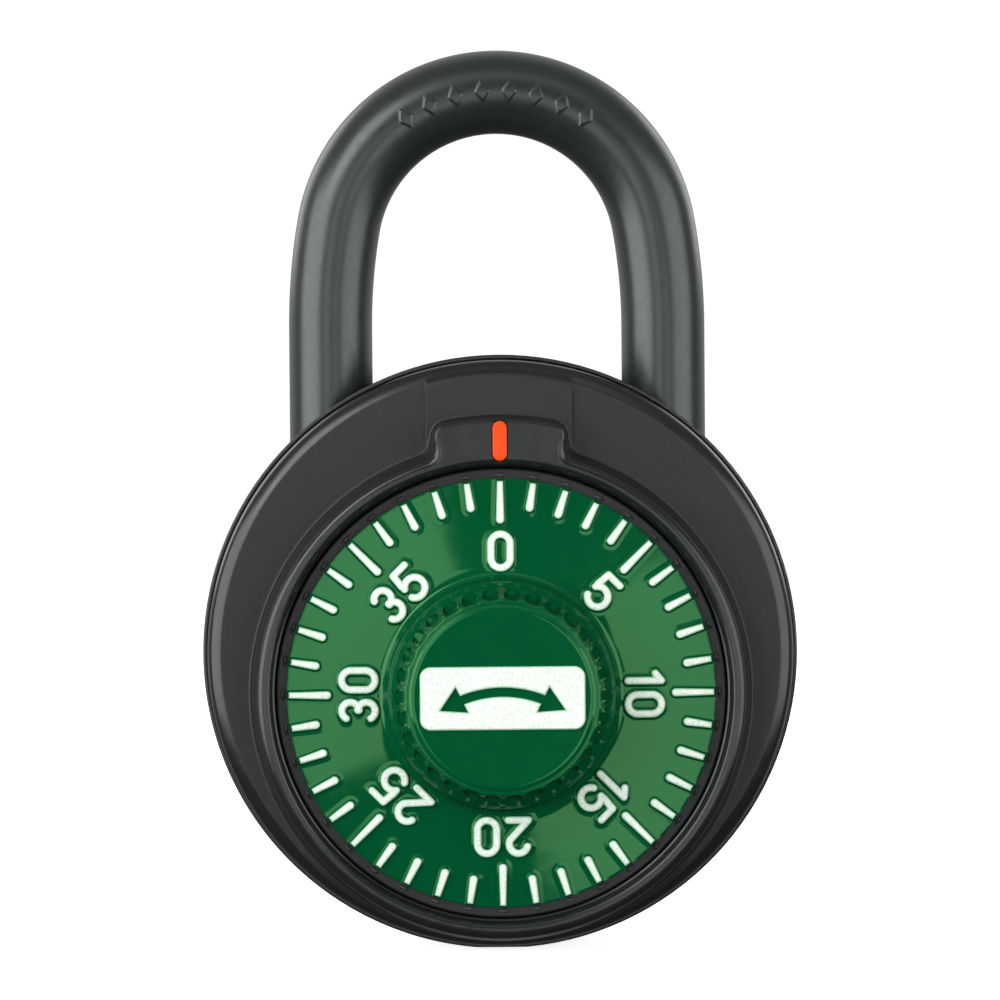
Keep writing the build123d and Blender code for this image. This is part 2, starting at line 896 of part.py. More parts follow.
spacer_radius = 3.6
side_gap = 0.05
rear_wheel_front = rear_wheel_back + wheel_thickness
middle_wheel_front = middle_wheel_back + wheel_thickness

with BuildPart() as wheel_spacer:
    with BuildSketch(dial_plane(rear_wheel_front + side_gap)):
        Circle(spacer_radius)
        Circle(wheel_bore_radius, mode=Mode.SUBTRACT)
    extrude(amount=middle_wheel_back - rear_wheel_front - 2 * side_gap)

wheel_spacer.part.label = "wheel_spacer"
export_step(wheel_spacer.part, "parts/wheel_spacer.step")

wheel_spring_back = middle_wheel_front + side_gap
wheel_spring_front = clip_back - side_gap
wheel_spring_steel = 0.3

with BuildPart() as wheel_spring:
    with BuildSketch(dial_section):
        with BuildLine():
            Polyline(
                (wheel_bore_radius, wheel_spring_front),
                (wheel_bore_radius, wheel_spring_front - wheel_spring_steel),
                (spacer_radius, wheel_spring_back),
                (spacer_radius, wheel_spring_back + wheel_spring_steel),
                close=True,
            )
        make_face()
    revolve(axis=dial_axis)

wheel_spring.part.label = "wheel_spring"
export_step(wheel_spring.part, "parts/wheel_spring.step")


def clip_face(back, inner, outer, mouth):
    """Open ring of a retaining clip, with its mouth at the bottom."""
    with BuildSketch(dial_plane(back)) as face:
        Circle(outer)
        Circle(inner, mode=Mode.SUBTRACT)
        with Locations((0, -outer)):
            Rectangle(mouth, 2 * outer, mode=Mode.SUBTRACT)
    return face.sketch


post_clip_radius = 3.4
post_clip_mouth = 2.2

with BuildPart() as post_clip:
    extrude(
        clip_face(clip_back, clip_groove_radius, post_clip_radius, post_clip_mouth),
        clip_thickness,
    )

post_clip.part.label = "post_clip"
export_step(post_clip.part, "parts/post_clip.step")


# ---- Spindle: turned shaft from the dial to the cam wheel ----

spindle_head_radius = 2.4
spindle_head_back = cam_wheel_back - 0.35
cam_front = cam_wheel_back + wheel_thickness
spindle_front = 23.0
spindle_clip_back = 14.2
spindle_clip_radius = 4.2
spindle_clip_mouth = 2.8
spindle_groove_radius = 2.05

with BuildPart() as spindle:
    with BuildSketch(dial_plane(spindle_head_back)):
        Circle(spindle_head_radius)
    extrude(amount=cam_wheel_back - spindle_head_back)
    with BuildSketch(dial_plane(cam_wheel_back)):
        Circle(spindle_tip_radius)
    extrude(amount=wheel_thickness)
    with BuildSketch(dial_plane(cam_front)):
        Circle(spindle_radius)
    extrude(amount=spindle_front - cam_front)
    with BuildSketch(dial_plane(spindle_clip_back)):
        Circle(2 * spindle_radius)
        Circle(spindle_groove_radius, mode=Mode.SUBTRACT)
    extrude(amount=clip_thickness, mode=Mode.SUBTRACT)

spindle.part.label = "spindle"
export_step(spindle.part, "parts/spindle.step")

with BuildPart() as spindle_clip:
    extrude(
        clip_face(
            spindle_clip_back, spindle_groove_radius, spindle_clip_radius, spindle_clip_mouth
        ),
        clip_thickness,
    )

spindle_clip.part.label = "spindle_clip"
export_step(spindle_clip.part, "parts/spindle_clip.step")


# ---- Spindle bush: flanged bearing pressed in the cover from behind ----

bush_bore_radius = 2.55
bush_flange_radius = 5.0
bush_flange_back = cover_inside_depth - 0.6

with BuildPart() as spindle_bush:
    with BuildSketch(dial_plane(bush_flange_back)):
        Circle(bush_flange_radius)
    extrude(amount=cover_inside_depth - bush_flange_back)
    with BuildSketch(dial_plane(cover_inside_depth)):
        Circle(bush_radius)
    extrude(amount=face_depth - cover_inside_depth)
    with Locations(dial_plane(face_depth)):
        Hole(bush_bore_radius)

spindle_bush.part.label = "spindle_bush"
export_step(spindle_bush.part, "parts/spindle_bush.step")


# ---- Dial washer: friction ring between the cover and the dial ----

washer_radius = 6.0

with BuildPart() as dial_washer:
    with BuildSketch(dial_plane(face_depth)):
        Circle(washer_radius)
        Circle(bush_bore_radius, mode=Mode.SUBTRACT)
    extrude(amount=skirt_back - face_depth - side_gap)

dial_washer.part.label = "dial_washer"
export_step(dial_washer.part, "parts/dial_washer.step")


# ---- Dial skirt: black plate under the dial with a ring of small nubs ----

skirt_chamfer = 0.15
nub_circle = dial_radius + nub_radius + 0.08

with BuildPart() as dial_skirt:
    with BuildSketch(dial_plane(skirt_back)):
        Circle(skirt_radius)
        Circle(spindle_radius, mode=Mode.SUBTRACT)
    extrude(amount=skirt_front - skirt_back)
    chamfer(dial_skirt.edges().group_by(Axis.Y)[0].sort_by(SortBy.RADIUS)[-1], skirt_chamfer)
    with BuildSketch(dial_plane(skirt_front)):
        with PolarLocations(nub_circle, nub_count):
            Circle(nub_radius)
    extrude(amount=nub_height)

dial_skirt.part.label = "dial_skirt"
export_step(dial_skirt.part, "parts/dial_skirt.step")


# ---- Dial: coned face with a fluted knob, moulded in one piece ----

knob_hollow_outer = 6.8
knob_hollow_inner = 4.2
knob_hollow_front = 23.6
knob_foot_sweep = 0.7
knob_shoulder_round = 0.5
dial_edge_round = 0.15
dial_edge_radius = dial_radius - dial_edge_round
flute_back = knob_waist_depth + 0.3

with BuildPart() as dial:
    with BuildSketch(dial_section):
        with BuildLine():
            Polyline(
                (0, knob_depth),
                (0, skirt_front),
                (dial_radius, skirt_front),
                (dial_radius, rim_depth - dial_edge_round),
            )
            RadiusArc(
                (dial_radius, rim_depth - dial_edge_round),
                (dial_edge_radius, rim_depth),
                dial_edge_round,
            )
            Line((dial_edge_radius, rim_depth), (cone_inner_radius, cone_inner_depth))
            RadiusArc(
                (cone_inner_radius, cone_inner_depth),
                (knob_foot_radius, knob_foot_depth),
                -knob_foot_sweep,
            )
            Line((knob_foot_radius, knob_foot_depth), (knob_waist_radius, knob_waist_depth))
            RadiusArc(
                (knob_waist_radius, knob_waist_depth),
                (knob_grip_radius, knob_grip_depth),
                knob_foot_sweep,
            )
            Line(
                (knob_grip_radius, knob_grip_depth),
                (knob_shoulder_radius, knob_shoulder_depth),
            )
            RadiusArc(
                (knob_shoulder_radius, knob_shoulder_depth),
                (knob_top_radius, knob_depth - knob_disc_raise),
                knob_shoulder_round,
            )
            Polyline(
                (knob_top_radius, knob_depth - knob_disc_raise),
                (knob_disc_radius, knob_depth),
                (0, knob_depth),
            )
        make_face()
    revolve(axis=dial_axis)
    with BuildSketch(dial_plane(flute_back)):
        with PolarLocations(flute_circle, flute_count):
            Circle(flute_radius)
    extrude(amount=knob_depth - flute_back, mode=Mode.SUBTRACT)
    with BuildSketch(dial_plane(skirt_front)):
        Circle(knob_hollow_outer)
        Circle(knob_hollow_inner, mode=Mode.SUBTRACT)
    extrude(amount=knob_hollow_front - skirt_front, mode=Mode.SUBTRACT)
    with BuildSketch(dial_plane(skirt_front)):
        Circle(spindle_radius)
    extrude(amount=spindle_front - skirt_front, mode=Mode.SUBTRACT)

dial.part.label = "dial"
export_step(dial.part, "parts/dial.step")


# ---- Print layer: raised ticks and numerals that follow the coned face ----

tick_count = 40
major_every = 5
tick_outer = 17.7
minor_inner = 15.3
major_inner = 14.15
tick_outer_width = 0.5
tick_inner_width = 0.7
numeral_circle = 11.9
numeral_height = 3.4
stroke = 0.7
print_plane_depth = rim_depth - 0.5
print_reach = 2.0


def print_band():
    """The thin band that lies on the coned face, as a section through the dial axis."""
    with BuildSketch(dial_section) as band:
        with BuildLine():
            Polyline(
                (dial_edge_radius, rim_depth),
                (cone_inner_radius, cone_inner_depth),
                (cone_inner_radius, cone_inner_depth + print_height),
                (dial_edge_radius, rim_depth + print_height),
                close=True,
            )
        make_face()
    return band.sketch


def tick(inner):
    """One tick above the dial axis, square at the rim and rounded towards the centre."""
    round_start = inner + tick_inner_width / 2
    with BuildSketch() as face:
        with BuildLine():
            Line((-tick_outer_width / 2, tick_outer), (-tick_inner_width / 2, round_start))
            ThreePointArc(
                (-tick_inner_width / 2, round_start), (0, inner), (tick_inner_width / 2, round_start)
            )
            Line((tick_inner_width / 2, round_start), (tick_outer_width / 2, tick_outer))
            Line((tick_outer_width / 2, tick_outer), (-tick_outer_width / 2, tick_outer))
        make_face()
    return face.sketch


major_tick = tick(major_inner)
minor_tick = tick(minor_inner)

with BuildPart() as dial_ticks:
    with BuildSketch(dial_plane(print_plane_depth)):
        for index in range(tick_count):
            with Locations(Location((0, 0, 0), (0, 0, -index * 360 / tick_count))):
                add(major_tick if index % major_every == 0 else minor_tick)
    extrude(amount=print_reach)
    revolve(print_band(), axis=dial_axis, mode=Mode.INTERSECT)

dial_ticks.part.label = "dial_ticks"
export_step(dial_ticks.part, "parts/dial_ticks.step")


def glyph_bar(start, end):
    """Straight stroke of a numeral with round ends."""
    return Edge.make_line((start[0], start[1], 0), (end[0], end[1], 0))


def glyph_arc(centre, radius, start_angle, end_angle):
    """Curved stroke of a numeral, anticlockwise from its start to its end."""
    return Edge.make_circle(
        radius,
        Plane((centre[0], centre[1], 0)),
        start_angle=start_angle,
        end_angle=end_angle,
    )


half_tall = (numeral_height - stroke) / 2
zero_bend = 0.8
two_bend = 0.77
three_bend = 0.72
five_bowl = 0.85
five_shoulder_z = 0.25
digit_strokes = {
    "0": [
        glyph_arc((0, half_tall - zero_bend), zero_bend, 0, 180),
        glyph_bar((-zero_bend, half_tall - zero_bend), (-zero_bend, zero_bend - half_tall)),
        glyph_arc((0, zero_bend - half_tall), zero_bend, 180, 360),
        glyph_bar((zero_bend, half_tall - zero_bend), (zero_bend, zero_bend - half_tall)),
    ],
    "1": [
        glyph_bar((0.3, half_tall), (0.3, -half_tall)),
        glyph_bar((0.3, half_tall), (-0.3, half_tall - 0.5)),
    ],
    "2": [
        glyph_arc((0, half_tall - two_bend), two_bend, -30, 165),
        glyph_bar(
            (two_bend * cos(radians(30)), half_tall - 1.5 * two_bend), (-0.82, -half_tall)
        ),
        glyph_bar((-0.82, -half_tall), (0.85, -half_tall)),
    ],
    "3": [
        glyph_arc((0, half_tall - three_bend), three_bend, -85, 150),
        glyph_arc((0, three_bend - half_tall), three_bend, -150, 85),
    ],
    "5": [
        glyph_bar((0.72, half_tall), (-0.6, half_tall)),
        glyph_bar((-0.6, half_tall), (-0.72, five_shoulder_z)),
        glyph_arc((0, five_bowl - half_tall), five_bowl, -150, 145),
    ],
}
digit_advance = {"0": 2.62, "1": 1.9, "2": 2.62, "3": 2.5, "5": 2.62}


def numeral(text):
    """One numeral, centred on its own origin and upright."""
    total = sum(digit_advance[c] for c in text)
    left = -total / 2
    with BuildSketch() as face:
        for character in text:
            with Locations((left + digit_advance[character] / 2, 0)):
                for path in digit_strokes[character]:
                    SlotArc(path, stroke)
            left += digit_advance[character]
    return face.sketch


numerals = [numeral(str(value)) for value in range(0, tick_count, major_every)]

with BuildPart() as dial_numerals:
    with BuildSketch(dial_plane(print_plane_depth)):
        for index, shape in enumerate(numerals):
            turn = -index * 360 / len(numerals)
            centre = polar_point(numeral_circle, 90 + turn)
            with Locations(Location((centre[0], centre[1], 0), (0, 0, turn))):
                add(shape)
    extrude(amount=print_reach)
    revolve(print_band(), axis=dial_axis, mode=Mode.INTERSECT)

dial_numerals.part.label = "dial_numerals"
export_step(dial_numerals.part, "parts/dial_numerals.step")


# ---- Knob badge: raised plate with a two-way turning arrow cut through it ----

badge_length = 13.6
badge_height = 5.2
badge_corner = 0.9
badge_raise = 0.25
arrow_radius = 9.0
arrow_half_angle = 26.0
arrow_shaft = 0.75
arrow_head = 2.3
arrow_rise = 0.5
arrow_centre_z = arrow_rise - arrow_radius

with BuildPart() as knob_badge:
    with BuildSketch(dial_plane(knob_depth)):
        RectangleRounded(badge_length, badge_height, badge_corner)
        with Locations((0, arrow_centre_z)):
            SlotArc(
                Edge.make_circle(
                    arrow_radius,
                    start_angle=90 - arrow_half_angle,
                    end_angle=90 + arrow_half_angle,
                ),
                arrow_shaft,
                mode=Mode.SUBTRACT,
            )
        for side in (-1, 1):
            turn = 90 - side * arrow_half_angle
            head_x, head_z = polar_point(arrow_radius, turn)
            with Locations(Location((head_x, head_z + arrow_centre_z, 0), (0, 0, turn - side * 90))):
                Triangle(a=arrow_head, b=arrow_head, c=arrow_head, rotation=-90, mode=Mode.SUBTRACT)
    extrude(amount=badge_raise)

knob_badge.part.label = "knob_badge"
export_step(knob_badge.part, "parts/knob_badge.step")
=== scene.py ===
import json
from math import asin, cos, pi, radians, sin

import bmesh
import bpy
import numpy as np
from mathutils import Matrix, Vector


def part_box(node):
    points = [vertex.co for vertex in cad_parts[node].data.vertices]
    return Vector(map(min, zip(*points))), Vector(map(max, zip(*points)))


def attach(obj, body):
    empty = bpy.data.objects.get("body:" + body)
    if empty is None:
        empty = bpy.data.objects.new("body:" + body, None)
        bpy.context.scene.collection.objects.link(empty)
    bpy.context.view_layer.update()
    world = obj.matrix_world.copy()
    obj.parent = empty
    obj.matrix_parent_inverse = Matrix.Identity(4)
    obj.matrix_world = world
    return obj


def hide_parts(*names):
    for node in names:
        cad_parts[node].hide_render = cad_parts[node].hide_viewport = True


# Combination dial padlock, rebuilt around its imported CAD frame.
# Shapes are worked out in millimetres and turned into metres when a mesh is made.
# A depth is a distance in front of the back face, so y = -depth.
# An angle about the dial axis runs clockwise from the top, as the dial is read.

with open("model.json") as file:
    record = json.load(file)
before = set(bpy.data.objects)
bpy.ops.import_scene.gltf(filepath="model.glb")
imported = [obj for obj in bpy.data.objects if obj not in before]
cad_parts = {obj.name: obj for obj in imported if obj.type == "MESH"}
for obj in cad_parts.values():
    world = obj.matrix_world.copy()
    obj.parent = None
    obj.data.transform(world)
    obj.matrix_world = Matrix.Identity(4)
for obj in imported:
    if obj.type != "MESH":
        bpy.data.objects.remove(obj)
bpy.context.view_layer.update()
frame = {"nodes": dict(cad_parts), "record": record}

MM = 0.001


def box_mm(node):
    """Lowest and highest corner of a CAD node, in millimetres."""
    low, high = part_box(node)
    return np.array(low) / MM, np.array(high) / MM


# ---- Places and sizes that the frame gives ----

case_low = box_mm("rear_case")[0]
lip_depth = -case_low[1]

cover_low, cover_high = box_mm("front_cover")
cover_radius = (cover_high[0] - cover_low[0]) / 2
cover_back = -cover_high[1]
collar_depth = -cover_low[1]

dial_low, dial_high = box_mm("dial")
dial_z = (dial_low[2] + dial_high[2]) / 2
dial_radius = (dial_high[0] - dial_low[0]) / 2
dial_back = -dial_high[1]
knob_depth = -dial_low[1]

skirt_low, skirt_high = box_mm("dial_skirt")
skirt_radius = (skirt_high[0] - skirt_low[0]) / 2
skirt_back = -skirt_high[1]

face_depth = -box_mm("spindle_bush")[0][1]

mark_low, mark_high = box_mm("index_mark")
mark_half_width = (mark_high[0] - mark_low[0]) / 2
mark_outer = mark_high[2] - dial_z

badge_low, badge_high = box_mm("knob_badge")
badge_half = (badge_high - badge_low) / 2
badge_depth = -badge_low[1]

shackle_low, shackle_high = box_mm("shackle")
spring_low, spring_high = box_mm("shackle_spring")
leg_x = -(spring_low[0] + spring_high[0]) / 2
leg_depth = -(spring_low[1] + spring_high[1]) / 2
shackle_radius = shackle_high[0] - leg_x


# ---- Mesh helpers ----


def smoothstep(value):
    """0 below 0, 1 above 1, and a smooth rise between."""
    value = np.clip(value, 0, 1)
    return value * value * (3 - 2 * value)


def soft_max(first, second, width):
    """The larger of two values, rounded where they cross."""
    share = np.clip(0.5 + 0.5 * (first - second) / width, 0, 1)
    return second + (first - second) * share + width * share * (1 - share)


def soft_min(first, second, width):
    """The smaller of two values, rounded where they cross."""
    return -soft_max(-first, -second, width)


def arc(centre, radius, start, end, count):
    """Points of a circular arc, angles in degrees anticlockwise from the first axis."""
    turns = np.radians(np.linspace(start, end, count))
    return [(centre[0] + radius * cos(t), centre[1] + radius * sin(t)) for t in turns]


def add_piece(name, body, slot, nodes, vertices, faces, sharp_angle, factor=None):
    """A closed, smooth-shaded piece from millimetre vertices.

    It rides on a body, takes a slot's finish and stands for some CAD nodes, or for none.
    The factor, from 0 to 1 at each vertex, is one that the finish reads: how matt the
    cover is, how much painted highlight greys the skirt's nubs, or how near white print is
    to its edge, where it takes a painted green reflection.
    """
    mesh = bpy.data.meshes.new(name)
    mesh.from_pydata((np.asarray(vertices) * MM).tolist(), [], faces)
    if factor is not None:
        layer = mesh.attributes.new("factor", "FLOAT", "POINT")
        layer.data.foreach_set("value", np.asarray(factor, dtype=np.float32).ravel())
    work = bmesh.new()
    work.from_mesh(mesh)
    bmesh.ops.remove_doubles(work, verts=work.verts, dist=1e-7)
    bmesh.ops.dissolve_degenerate(work, edges=work.edges, dist=1e-7)
    bmesh.ops.recalc_face_normals(work, faces=work.faces)
    work.to_mesh(mesh)
    work.free()
    mesh.shade_smooth()
    mesh.set_sharp_from_angle(angle=radians(sharp_angle))
    mesh.materials.append(materials[slot])
    piece = bpy.data.objects.new(name, mesh)
    bpy.context.scene.collection.objects.link(piece)
    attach(piece, body)
    if nodes:
        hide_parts(*nodes)


def grid_faces(rows, columns, wrap_rows):
    """Quads of a grid whose columns always wrap round, and whose rows wrap if asked."""
    row = np.arange(rows if wrap_rows else rows - 1)
    column = np.arange(columns)
    r0, c0 = np.meshgrid(row, column, indexing="ij")
    r1, c1 = (r0 + 1) % rows, (c0 + 1) % columns
    quads = np.stack([r0 * columns + c0, r0 * columns + c1, r1 * columns + c1, r1 * columns + c0], -1)
    return quads.reshape(-1, 4).tolist()


def cap_rings(faces, rows, columns):
    """Closes the first and last row of an open grid with one polygon each."""
    faces.append(list(range(columns)))
    faces.append(list(range((rows - 1) * columns, rows * columns)))
    return faces


def dial_points(radius, angle, depth):
    """Points about the dial axis, from radius, clockwise angle in radians, and depth."""
    radius, angle, depth = np.broadcast_arrays(radius, angle, depth)
    return np.stack([radius * np.sin(angle), -depth, dial_z + radius * np.cos(angle)], -1)


# ---- Materials ----


class Nodes:
    """A node tree under construction, with short calls for its usual nodes."""

    def __init__(self, tree):
        self.tree = tree

    def add(self, kind, **values):
        node = self.tree.nodes.new(kind)
        for key, value in values.items():
            setattr(node, key, value)
        return node

    def link(self, source, target):
        self.tree.links.new(source, target)

    def spread(self, factor, low, high, from_low=0.3, from_high=0.7, **values):
        """Maps a factor to the range low to high, and holds it there."""
        node = self.add("ShaderNodeMapRange", **values)
        node.inputs["From Min"].default_value = from_low
        node.inputs["From Max"].default_value = from_high
        node.inputs["To Min"].default_value = low
        node.inputs["To Max"].default_value = high
        self.link(factor, node.inputs["Value"])
        return node.outputs["Result"]

    def combine(self, operation, first, second):
        """One number from two, by a Math operation."""
        node = self.add("ShaderNodeMath", operation=operation)
        self.link(first, node.inputs[0])
        self.link(second, node.inputs[1])
        return node.outputs["Value"]


class Shader(Nodes):
    """A Principled material. The fixed values are sockets that stay the same all over."""

    def __init__(self, name, base, roughness, **fixed):
        self.material = bpy.data.materials.new(name)
        self.material.use_nodes = True
        super().__init__(self.material.node_tree)
        self.surface = self.tree.nodes["Principled BSDF"]
        self.surface.inputs["Base Color"].default_value = (*base, 1)
        self.surface.inputs["Roughness"].default_value = roughness
        for socket, value in fixed.items():
            self.surface.inputs[socket.replace("_", " ")].default_value = value
        self.place = self.add("ShaderNodeTexCoord").outputs["Object"]
        self.bump = None

    def factor(self):
        """The factor that the mesh holds at each vertex."""
        return self.add("ShaderNodeAttribute", attribute_name="factor").outputs["Fac"]

    def noise(self, size, detail=2.0, rough=0.5):
        """Noise whose features are about size millimetres across."""
        node = self.add("ShaderNodeTexNoise")
        node.inputs["Scale"].default_value = 1 / (size * MM)
        node.inputs["Detail"].default_value = detail
        node.inputs["Roughness"].default_value = rough
        self.link(self.place, node.inputs["Vector"])
        return node.outputs["Fac"]

    def mix(self, factor, first, second, kind="RGBA"):
        """A blend of two colours or numbers. Each is a plain colour or a node's output."""
        node = self.add("ShaderNodeMix", data_type=kind)
        self.link(factor, node.inputs["Factor"])
        for name, source in (("A", first), ("B", second)):
            if isinstance(source, tuple):
                node.inputs[name].default_value = (*source, 1)
            else:
                self.link(source, node.inputs[name])
        return node.outputs["Result"]

    def colour(self, source):
        self.link(source, self.surface.inputs["Base Color"])

    def roughness(self, source):
        self.link(source, self.surface.inputs["Roughness"])

    def relief(self, height, depth, strength=1.0):
        """Bump of a depth in millimetres, laid over any bump added before."""
        node = self.add("ShaderNodeBump")
        node.inputs["Distance"].default_value = depth * MM
        if isinstance(strength, float):
            node.inputs["Strength"].default_value = strength
        else:
            self.link(strength, node.inputs["Strength"])
        self.link(height, node.inputs["Height"])
        if self.bump is not None:
            self.link(self.bump, node.inputs["Normal"])
        self.bump = node.outputs["Normal"]
        self.link(self.bump, self.surface.inputs["Normal"])


def cover_material():
    """Black moulded cover: spark-eroded matt on the face, satin on the collar and rim."""
    shader = Shader("cover_black", (0.011, 0.013, 0.0125), 0.4, Specular_IOR_Level=0.4)
    shader.colour(shader.mix(shader.noise(3.0, 3.0), (0.0095, 0.0115, 0.011), (0.0125, 0.0145, 0.014)))
    matt = shader.factor()
    grain = shader.noise(0.12, 3.0, 0.6)
    satin = shader.spread(shader.noise(1.2), 0.19, 0.26)
    shader.roughness(shader.mix(matt, satin, shader.spread(grain, 0.46, 0.58), "FLOAT"))
    shader.relief(shader.noise(1.6), 0.02, 0.25)
    shader.relief(grain, 0.03, shader.spread(matt, 0.08, 0.75, 0.0, 1.0))
    return shader.material


def case_material():
    """Black powder coat on drawn steel."""
    shader = Shader("case_steel", (0.028, 0.03, 0.03), 0.42)
    shader.colour(shader.mix(shader.noise(4.0), (0.012, 0.014, 0.0135), (0.018, 0.02, 0.0195)))
    shader.roughness(shader.spread(shader.noise(1.4, 3.0), 0.38, 0.45))
    shader.relief(shader.noise(0.35, 2.0), 0.008, 0.3)
    shader.relief(shader.noise(0.1, 2.0), 0.006, 0.5)
    return shader.material


def shackle_material():
    """Hardened steel under a satin black coat."""
    cool_tint = (0.9, 1.0, 0.96, 1)
    shader = Shader(
        "shackle_black", (0.016, 0.019, 0.018), 0.3, Specular_IOR_Level=0.6, Specular_Tint=cool_tint
    )
    shader.colour(shader.mix(shader.noise(2.5, 3.0), (0.0125, 0.016, 0.015), (0.0175, 0.0215, 0.0205)))
    shader.roughness(shader.spread(shader.noise(0.6, 4.0), 0.27, 0.34))
    shader.relief(shader.noise(0.45, 2.0), 0.006, 0.3)
    return shader.material


def dial_material():
    """Deep green moulded plastic with a high gloss."""
    green_tint = (0.38, 1.0, 0.4, 1)
    shader = Shader(
        "dial_green", (0.001, 0.082, 0.026), 0.1, Specular_IOR_Level=0.5, Specular_Tint=green_tint
    )
    shader.colour(shader.mix(shader.noise(5.0), (0.0005, 0.068, 0.021), (0.0009, 0.077, 0.024)))
    shader.roughness(shader.spread(shader.noise(0.8, 3.0), 0.05, 0.09))
    shader.relief(shader.noise(2.6, 1.0), 0.03, 0.2)
    return shader.material


def skirt_material():
    """Black moulded plastic, with a painted highlight that greys its nubs."""
    shader = Shader("skirt_black", (0.009, 0.01, 0.01), 0.4, Specular_IOR_Level=0.35)
    plain = shader.mix(shader.noise(2.0), (0.007, 0.008, 0.008), (0.011, 0.0125, 0.012))
    # Painted highlight: the nubs are mixed to a lighter grey that stands for the gloss on their rounded
    # tops.
    shader.colour(shader.mix(shader.factor(), plain, (0.05, 0.056, 0.054)))
    shader.roughness(shader.spread(shader.noise(0.5, 3.0), 0.34, 0.46))
    shader.relief(shader.noise(0.3, 2.0), 0.01, 0.4)
    return shader.material


def print_material():
    """White hot-stamped foil, pebbly, with a painted green reflection towards its edge."""
    shader = Shader("print_white", (0.8, 0.87, 0.8), 0.38)
    pebbles = shader.noise(0.17, 3.0, 0.6)
    tone = shader.spread(pebbles, 0.0, 1.0, 0.35, 0.62)
    foil = shader.mix(tone, (0.58, 0.72, 0.6), (0.89, 0.92, 0.875))
    # Painted reflection: near its outline the print is tinted green, as if it mirrored the green swelling
    # around it.
    shader.colour(shader.mix(shader.factor(), foil, (0.2, 0.46, 0.24)))
    shader.roughness(shader.spread(shader.noise(0.3), 0.3, 0.5))
    shader.relief(pebbles, 0.04, 0.75)
    return shader.material


def mark_material():
    """Bright red-orange insert."""
    shader = Shader("mark_orange", (0.78, 0.07, 0.006), 0.35, Specular_IOR_Level=0.2)
    shader.colour(shader.mix(shader.noise(0.5, 3.0), (0.7, 0.05, 0.002), (0.82, 0.075, 0.006)))
    shader.roughness(shader.spread(shader.noise(0.2), 0.3, 0.45))
    shader.relief(shader.noise(0.15), 0.008, 0.4)
    return shader.material


def metal_material(name, dark, bright, rough_low, rough_high, grain, stretch=1.0):
    """A bare metal with an even grain, or one stretched across its height."""
    shader = Shader(name, bright, rough_low, Metallic=1.0)
    if stretch != 1.0:
        mapping = shader.add("ShaderNodeMapping")
        mapping.inputs["Scale"].default_value = (1.0, 1.0, stretch)
        shader.link(shader.place, mapping.inputs["Vector"])
        shader.place = mapping.outputs["Vector"]
    shader.colour(shader.mix(shader.noise(grain * 6, 3.0), dark, bright))
    shader.roughness(shader.spread(shader.noise(grain, 4.0), rough_low, rough_high))
    shader.relief(shader.noise(grain, 3.0), 0.01, 0.3)
    return shader.material


def nylon_material():
    """Natural nylon."""
    shader = Shader("nylon", (0.8, 0.77, 0.7), 0.5)
    shader.colour(shader.mix(shader.noise(1.5), (0.74, 0.71, 0.63), (0.84, 0.82, 0.76)))
    shader.roughness(shader.spread(shader.noise(0.4), 0.45, 0.6))
    return shader.material


metals = {
    "frame_zinc": ((0.4, 0.41, 0.42), (0.56, 0.57, 0.58), 0.42, 0.6, 0.4),
    "plate_steel": ((0.5, 0.5, 0.47), (0.66, 0.66, 0.62), 0.22, 0.38, 0.2, 6.0),
    "hard_steel": ((0.34, 0.35, 0.36), (0.48, 0.49, 0.5), 0.18, 0.3, 0.15, 8.0),
    "wheel_brass": ((0.58, 0.42, 0.18), (0.76, 0.6, 0.3), 0.2, 0.34, 0.2),
    "spring_steel": ((0.36, 0.36, 0.36), (0.55, 0.55, 0.55), 0.2, 0.32, 0.1, 3.0),
}
materials = {name: metal_material(name, *finish) for name, finish in metals.items()}
materials |= {
    "case_steel": case_material(),
    "cover_black": cover_material(),
    "mark_orange": mark_material(),
    "nylon": nylon_material(),
    "shackle_black": shackle_material(),
    "dial_green": dial_material(),
    "skirt_black": skirt_material(),
    "print_white": print_material(),
}

# Every CAD node takes the material of its slot. The replaced ones keep it unseen.
for subpart in frame["record"]["subparts"]:
    node_mesh = frame["nodes"][subpart["node"]].data
    node_mesh.materials.clear()
    node_mesh.materials.append(materials[subpart["material_slot"]])


# ---- Front cover: one closed skin with the collar, the tab, the panel and the rim ----

collar_inner = 19.1
collar_outer = 20.85
collar_edge_round = 0.48
ledge_inner = 18.9
ledge_depth = 18.1
bush_radius = 3.6
rim_start = 23.4
rim_turn = 24.05
rim_start_tilt = radians(18)
rim_turn_tilt = radians(34)
cover_inside_radius = 22.6
cover_inside_depth = 15.4
tab_radius = 23.1
tab_foot_radius = 20.0
tab_half_top = 5.5
tab_half_foot = 6.0
tab_corner = 0.8
tab_blend = 0.9
edge_bead_height = 0.06
edge_bead_width = 0.11
panel_half_width = 6.15
panel_raise = 0.28
panel_low_z = 12.0
panel_bend_z = 21.6
mark_inner = 19.38
mark_groove = 0.05
straight_half_width = 8.0
far_off = 30.0


def tab_distance(x, radius):
    """Distance outside the index tab's outline, negative inside it."""
    slope = (tab_half_foot - tab_half_top) / (tab_radius - tab_foot_radius)
    half_width = tab_half_foot - slope * (radius - tab_foot_radius)
    across = np.abs(x) - half_width + tab_corner
    outward = radius - tab_radius + tab_corner
    outside = np.hypot(np.maximum(across, 0), np.maximum(outward, 0))
    return outside + np.minimum(np.maximum(across, outward), 0) - tab_corner


def mark_distance(x, radius):
    """Distance outside the index mark's outline, negative inside it."""
    middle = (mark_inner + mark_outer) / 2
    half_run = (mark_outer - mark_inner) / 2 - mark_half_width
    past_end = np.maximum(np.abs(radius - middle) - half_run, 0)
    return np.hypot(x, past_end) - mark_half_width


